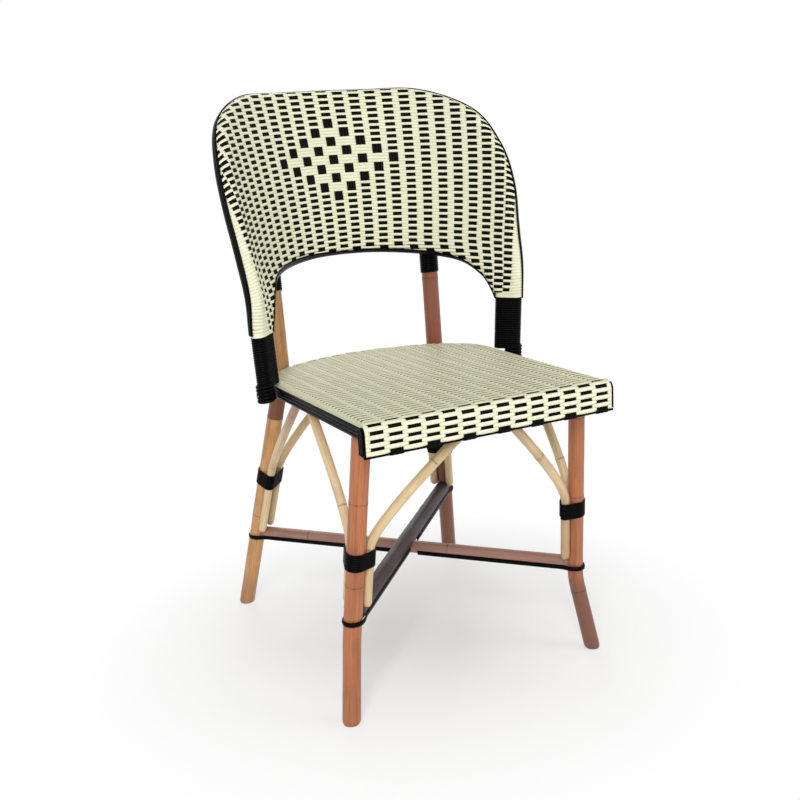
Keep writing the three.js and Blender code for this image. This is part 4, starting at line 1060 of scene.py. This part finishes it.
def weave_seat():
    cream, black = Parts(), Parts()
    rows = range(int((SEAT_BACK_REACH + FRONT_RAIL_REACH + 12 - SEAT_START) / SEAT_WEFT_PITCH))
    half = SEAT_COLUMN_PITCH * SEAT_STRIP_SHARE / 2
    for row in rows:
        v = SEAT_START + (row + 0.5) * SEAT_WEFT_PITCH
        path = seat_weft_path(v)
        if path is None:
            continue
        points, normals, x = path
        on_top = float(smoothstep((v + ROLL_BLEND_SHARE * ROLL_LENGTH) / ROLL_BLEND))
        over = APRON_OVER_SHARE + (SEAT_OVER_SHARE - APRON_OVER_SHARE) * on_top
        crossings = [(middle, half + SEAT_COLUMN_ROOM, None if seat_shows_black(row, column) else over)
                     for column, middle in enumerate(SEAT_COLUMN_X)]
        lift, share = weft_shape(x, crossings)
        ribbon(cream, points, normals, lift, SEAT_WEFT_PITCH * share, CANE_THICKNESS, rng.uniform(), SEAT_CROWN,
               SEAT_SOIL * on_top)
    cream.piece("seat_cream", "cane_cream", "seat_weave")
    for column, middle in enumerate(SEAT_COLUMN_X):
        for shift in strand_shifts(2 * half):
            seat_black_strand(black, column, middle + shift, 2 * half / STRANDS * STRAND_FILL, rows)
    black.piece("seat_black", "cane_black", "seat_weave")


def seat_black_strand(parts, column, x, width, rows):
    """A black strand from under the apron, over the seat, to under the pole behind it."""
    back_y = rail_back(x)
    v = np.arange(SEAT_START, back_y + FRONT_RAIL_REACH, SEAT_WEFT_PITCH / 3)
    levels = [UNDER_LIFT if seat_shows_black(row, column) else -UNDER_LIFT for row in rows]
    lift = np.interp((v - SEAT_START) / SEAT_WEFT_PITCH - 0.5, list(rows), levels)
    points, normals = seat_place(x, v)
    wrap, wrap_normals, _ = seat_wrap(np.column_stack([np.full(12, x), back_y + np.linspace(2, 29, 12)]))
    hook, hook_normals = apron_hook(x, seat_shows_black(0, column))
    ribbon(parts, np.vstack([hook, points, wrap]), np.vstack([hook_normals, normals, wrap_normals]),
           np.concatenate([np.zeros(len(hook)), lift, np.zeros(len(wrap))]), width, CANE_THICKNESS,
           rng.uniform(), COLUMN_CROWN)


# The end of a black strip under the apron, as (y, z, normal y, normal z) from the sheet's lower edge: behind the
# edging, or hooked over its front
HOOK_BEHIND = [(6.5, 1.2, 0, -1), (3.0, 0.4, -0.4, -0.9), (0.6, 0, -0.9, -0.4)]
HOOK_OVER = [(7.0, -4.6, 0, -1), (3.0, -4.8, -0.2, -1), (-0.6, -4.1, -0.7, -0.7), (-1.2, -2.4, -1, -0.1),
             (-1.2, -1.2, -1, 0), (-0.6, -0.2, -1, 0.1)]


def apron_hook(x, outside):
    shape = np.array(HOOK_OVER if outside else HOOK_BEHIND)
    across = np.full(len(shape), x)
    y, z = (shape[:, :2] + (seat_profile(SEAT_START)[0], APRON_BOTTOM)).T
    return np.column_stack([across, y, z]), np.column_stack([0 * across, shape[:, 2:]])


def add_trim(parts, rings):
    return parts.sweep(rings, tint=EDGE_TINT, run=path_lengths(rings[:, 0])[:, None] * MM, height=0.0, soil=0.0,
                       across=np.linspace(-1, 1, rings.shape[1]))


def make_seat_trim():
    """Black cane round the seat: three canes side by side, and a cheek that closes each end of the apron."""
    outline = resample(seat_outline(GAP, -FRONT_RAIL_REACH), step=4.0)
    t = tangents(outline)
    outward = np.column_stack([-t[:, 1], t[:, 0]])
    size, flat = SEAT_TRIM_SHOWN / STRANDS, SEAT_TRIM_THICKNESS - SEAT_TRIM_BULGE
    profile = [(strand * size + size / 2 - size / 2 * math.cos(a), flat + SEAT_TRIM_BULGE * math.sin(a))
               for strand in range(STRANDS) for a in np.linspace(math.pi, 0, 6)]
    profile += [(SEAT_TRIM_SHOWN, 0.0), (0.0, 0.0)]
    low = TRIM_BOTTOM - SEAT_TRIM_SAG
    parts = Parts()
    add_trim(parts, np.stack([
        np.column_stack([outline + outward * out, np.full(len(outline), low + up)]) for up, out in profile
    ], 1))
    for side in (LEFT, RIGHT):
        add_trim(parts, cheek_rings(side, profile))
    parts.piece("seat_trim", "cane_black", "seat_edge_trim")


def cheek_rings(side, profile):
    """The same trim turned down beside the roll and the apron."""
    outer = RAIL_RADIUS + GAP + SEAT_WEAVE_THICKNESS - SEAT_TRIM_DROP
    angle = np.concatenate([np.linspace(0, math.pi / 2, 14), np.full(5, math.pi / 2)])
    drop = np.concatenate([np.zeros(14), np.linspace(0, APRON_LENGTH, 6)[1:]])
    out = np.column_stack([np.zeros(len(angle)), -np.sin(angle), np.cos(angle)])
    corner = vec(side * (seat_half(-FRONT_RAIL_REACH) + GAP), -FRONT_RAIL_REACH, RAIL_HEIGHT)
    place = corner + out * outer - drop[:, None] * UP
    along = np.linspace(0, 1, len(place))
    start = 1 - smoothstep(along * 3)
    top = CHEEK_TOP_DROP + (SEAT_TRIM_HEIGHT - SEAT_TRIM_SHOWN - CHEEK_TOP_DROP) * start
    height = SEAT_TRIM_HEIGHT * (1 - CHEEK_NARROWING * smoothstep(along * 1.6))
    rings = []
    for up, proud in profile:
        share = up / SEAT_TRIM_SHOWN
        depth = height * (1 - share) + top * share + SEAT_TRIM_SAG * start
        rings.append(place - out * depth[:, None] + vec(side, 0, 0) * proud)
    return np.stack(rings, 1)


def make_apron_trim():
    """Black cane along the apron's lower edge."""
    half = seat_half(-FRONT_RAIL_REACH) + GAP + SEAT_TRIM_THICKNESS * 0.5
    x = np.linspace(-half, half, 120)[:, None]
    middle_y = 1.0 - SEAT_FRONT_REACH + APRON_TRIM_DEPTH / 2
    middle_z = APRON_BOTTOM - GAP - APRON_TRIM_HEIGHT / 2
    angles = circle(14)
    rings = np.stack(np.broadcast_arrays(x, middle_y - APRON_TRIM_DEPTH / 2 * np.cos(angles),
                                         middle_z + APRON_TRIM_HEIGHT / 2 * np.sin(angles)), -1)
    add_trim(Parts(), rings).piece("apron_trim", "cane_black", "apron_edge_trim")


# Bent poles of the back, and nails
def make_back_poles():
    for label, node, line in (("outer", "back_hoop", HOOP_LINE), ("inner", "back_arch", ARCH_LINE)):
        line = resample(line, step=3.0)
        path = resample(back_point(line[line[:, 1] > SEAT_HEIGHT - HOOP_TAIL_DROP + 15]), step=3.0)
        pole(f"back_pole_{label}", node, path, HOOP_RADIUS, "rattan_tan", (40, 700))


# A nail from inside the wood to the top of its head, as (radius, rise)
NAIL_SHAPE = [(1.4, -20.0), (1.4, -1.3), (3.0, -1.0), (3.0, 0.3), (2.3, 1.1), (1.0, 1.6), (0.2, 1.7)]


def make_nails():
    """A domed head over each nail of the frame, where its axis leaves the wood."""
    for node in sorted(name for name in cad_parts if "nail" in name):
        points = np.array([v.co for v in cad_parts[node].data.vertices], float) / MM - vec(0, Y_SHIFT, 0)
        centre = points.mean(0)
        axis = np.linalg.svd(points - centre)[2][0]
        reach = (points - centre) @ axis
        spread = np.linalg.norm(points - centre - reach[:, None] * axis, axis=1)
        if reach[spread.argmax()] < 0:
            axis, reach = -axis, -reach
        head = centre + axis * reach.max()
        side = square_to(vec(1, 0, 0) if abs(axis[0]) < 0.9 else vec(0, 1, 0), axis)
        angles = circle(16)[:, None]
        round_nail = np.cos(angles) * side + np.sin(angles) * np.cross(axis, side)
        rings = np.stack([head + axis * rise + round_nail * radius for radius, rise in NAIL_SHAPE])
        Parts().sweep(rings).piece(f"{node}_head", "nail_steel", node)


# Studio
AMBIENT = 0.46
WHITE = (1, 1, 1, 1)
FLOOR_SIZE, FLOOR_FADE = 12.0, (0.05, 0.55)
CAMERA_LENS, CAMERA_SENSOR = 45.86, 36.0
CAMERA_AZIMUTH, CAMERA_PITCH, CAMERA_ROLL = math.radians(-25.11), math.radians(13.87), math.radians(-3.72)
CAMERA_DISTANCE = 1582.14
CAMERA_TARGET = vec(-20.82, 9.18, 410.39)


def add_object(name, data):
    made = bpy.data.objects.new(name, data)
    bpy.context.scene.collection.objects.link(made)
    return made


def seen_directly(n):
    """One for rays that show a surface itself, and zero for rays that light the chair."""
    rays = n.tree.nodes.new("ShaderNodeLightPath").outputs
    direct = n.math("MAXIMUM", rays["Is Camera Ray"], rays["Is Glossy Ray"])
    return n.math("MAXIMUM", direct, rays["Is Transmission Ray"])


def pale_floor():
    """A pale floor that fades to white away from the chair."""
    mesh = bpy.data.meshes.new("floor")
    corners = [(x * FLOOR_SIZE / 2, y * FLOOR_SIZE / 2, 0) for x, y in ((-1, -1), (1, -1), (1, 1), (-1, 1))]
    mesh.from_pydata(corners, [], [(0, 1, 2, 3)])
    material = bpy.data.materials.new("floor_paper")
    n = Nodes(material)
    paper = n.feed("Principled BSDF", {"Base Color": (0.97, 0.97, 0.97, 1), "Roughness": 0.9}).outputs[0]
    place = n.node("ShaderNodeNewGeometry", output="Position")
    away = n.node("ShaderNodeVectorMath", {0: place}, "Value", operation="LENGTH")
    fade = n.math("MULTIPLY", n.span(away, *FLOOR_FADE), seen_directly(n))
    white = n.node("ShaderNodeEmission", {"Color": WHITE, "Strength": 1.0})
    n.feed("Material Output", {"Surface": n.node("ShaderNodeMixShader", {0: fade, 1: paper, 2: white})})
    mesh.materials.append(material)
    add_object("floor", mesh)


def world_light():
    """White where the world itself is seen, and a softer white as light."""
    world = bpy.data.worlds.new("studio")
    bpy.context.scene.world = world
    n = Nodes(world)
    ambient = n.feed("Background", {"Color": WHITE, "Strength": AMBIENT}).outputs[0]
    white = n.node("ShaderNodeBackground", {"Color": WHITE, "Strength": 1.0})
    mix = n.node("ShaderNodeMixShader", {0: seen_directly(n), 1: ambient, 2: white})
    n.feed("World Output", {"Surface": mix})


def look_matrix(place, target, roll=0.0):
    """A matrix at place whose -Z looks at target, rolled about its view."""
    back = unit(place - target)
    right = unit(np.cross(-back, UP))
    up = np.cross(back, right)
    turned_right = right * math.cos(roll) + up * math.sin(roll)
    turned_up = -right * math.sin(roll) + up * math.cos(roll)
    rows = np.column_stack([turned_right, turned_up, back, place])
    return Matrix([list(row) for row in rows] + [[0, 0, 0, 1]])


def lamp(name, place, target_z, size, power):
    data = bpy.data.lights.new(name, "AREA")
    data.shape = "RECTANGLE"
    data.size, data.size_y = size
    data.energy = power
    add_object(name, data).matrix_world = look_matrix(vec(*place), vec(0, 0, target_z))


def make_camera():
    data = bpy.data.cameras.new("camera")
    data.lens, data.sensor_width, data.sensor_fit = CAMERA_LENS, CAMERA_SENSOR, "HORIZONTAL"
    camera = add_object("camera", data)
    level = math.cos(CAMERA_PITCH)
    back = vec(math.sin(CAMERA_AZIMUTH) * level, -math.cos(CAMERA_AZIMUTH) * level, math.sin(CAMERA_PITCH))
    target = (CAMERA_TARGET + vec(0, Y_SHIFT, 0)) * MM
    camera.matrix_world = look_matrix(target + back * CAMERA_DISTANCE * MM, target, CAMERA_ROLL)
    bpy.context.scene.camera = camera


def make_studio():
    world_light()
    pale_floor()
    lamp("key", (-1.5, -2.4, 2.0), 0.45, (1.2, 1.4), 54)
    lamp("fill", (2.2, -1.9, 1.3), 0.45, (1.4, 1.4), 18)
    lamp("rear", (0.6, 2.4, 2.2), 0.5, (1.6, 1.2), 14)
    bpy.context.scene.view_settings.view_transform = "Standard"


make_camera()
make_studio()
make_rails()
make_legs()
make_stretchers()
make_braces()
make_back_poles()
weave_back()
edge_strip("hoop_trim", "hoop_edge_trim", hoop_rim, **HOOP_STRIP)
edge_strip("arch_trim", "arch_edge_trim", arch_rim, **ARCH_STRIP)
make_bindings()
weave_seat()
make_seat_trim()
make_apron_trim()
make_nails()
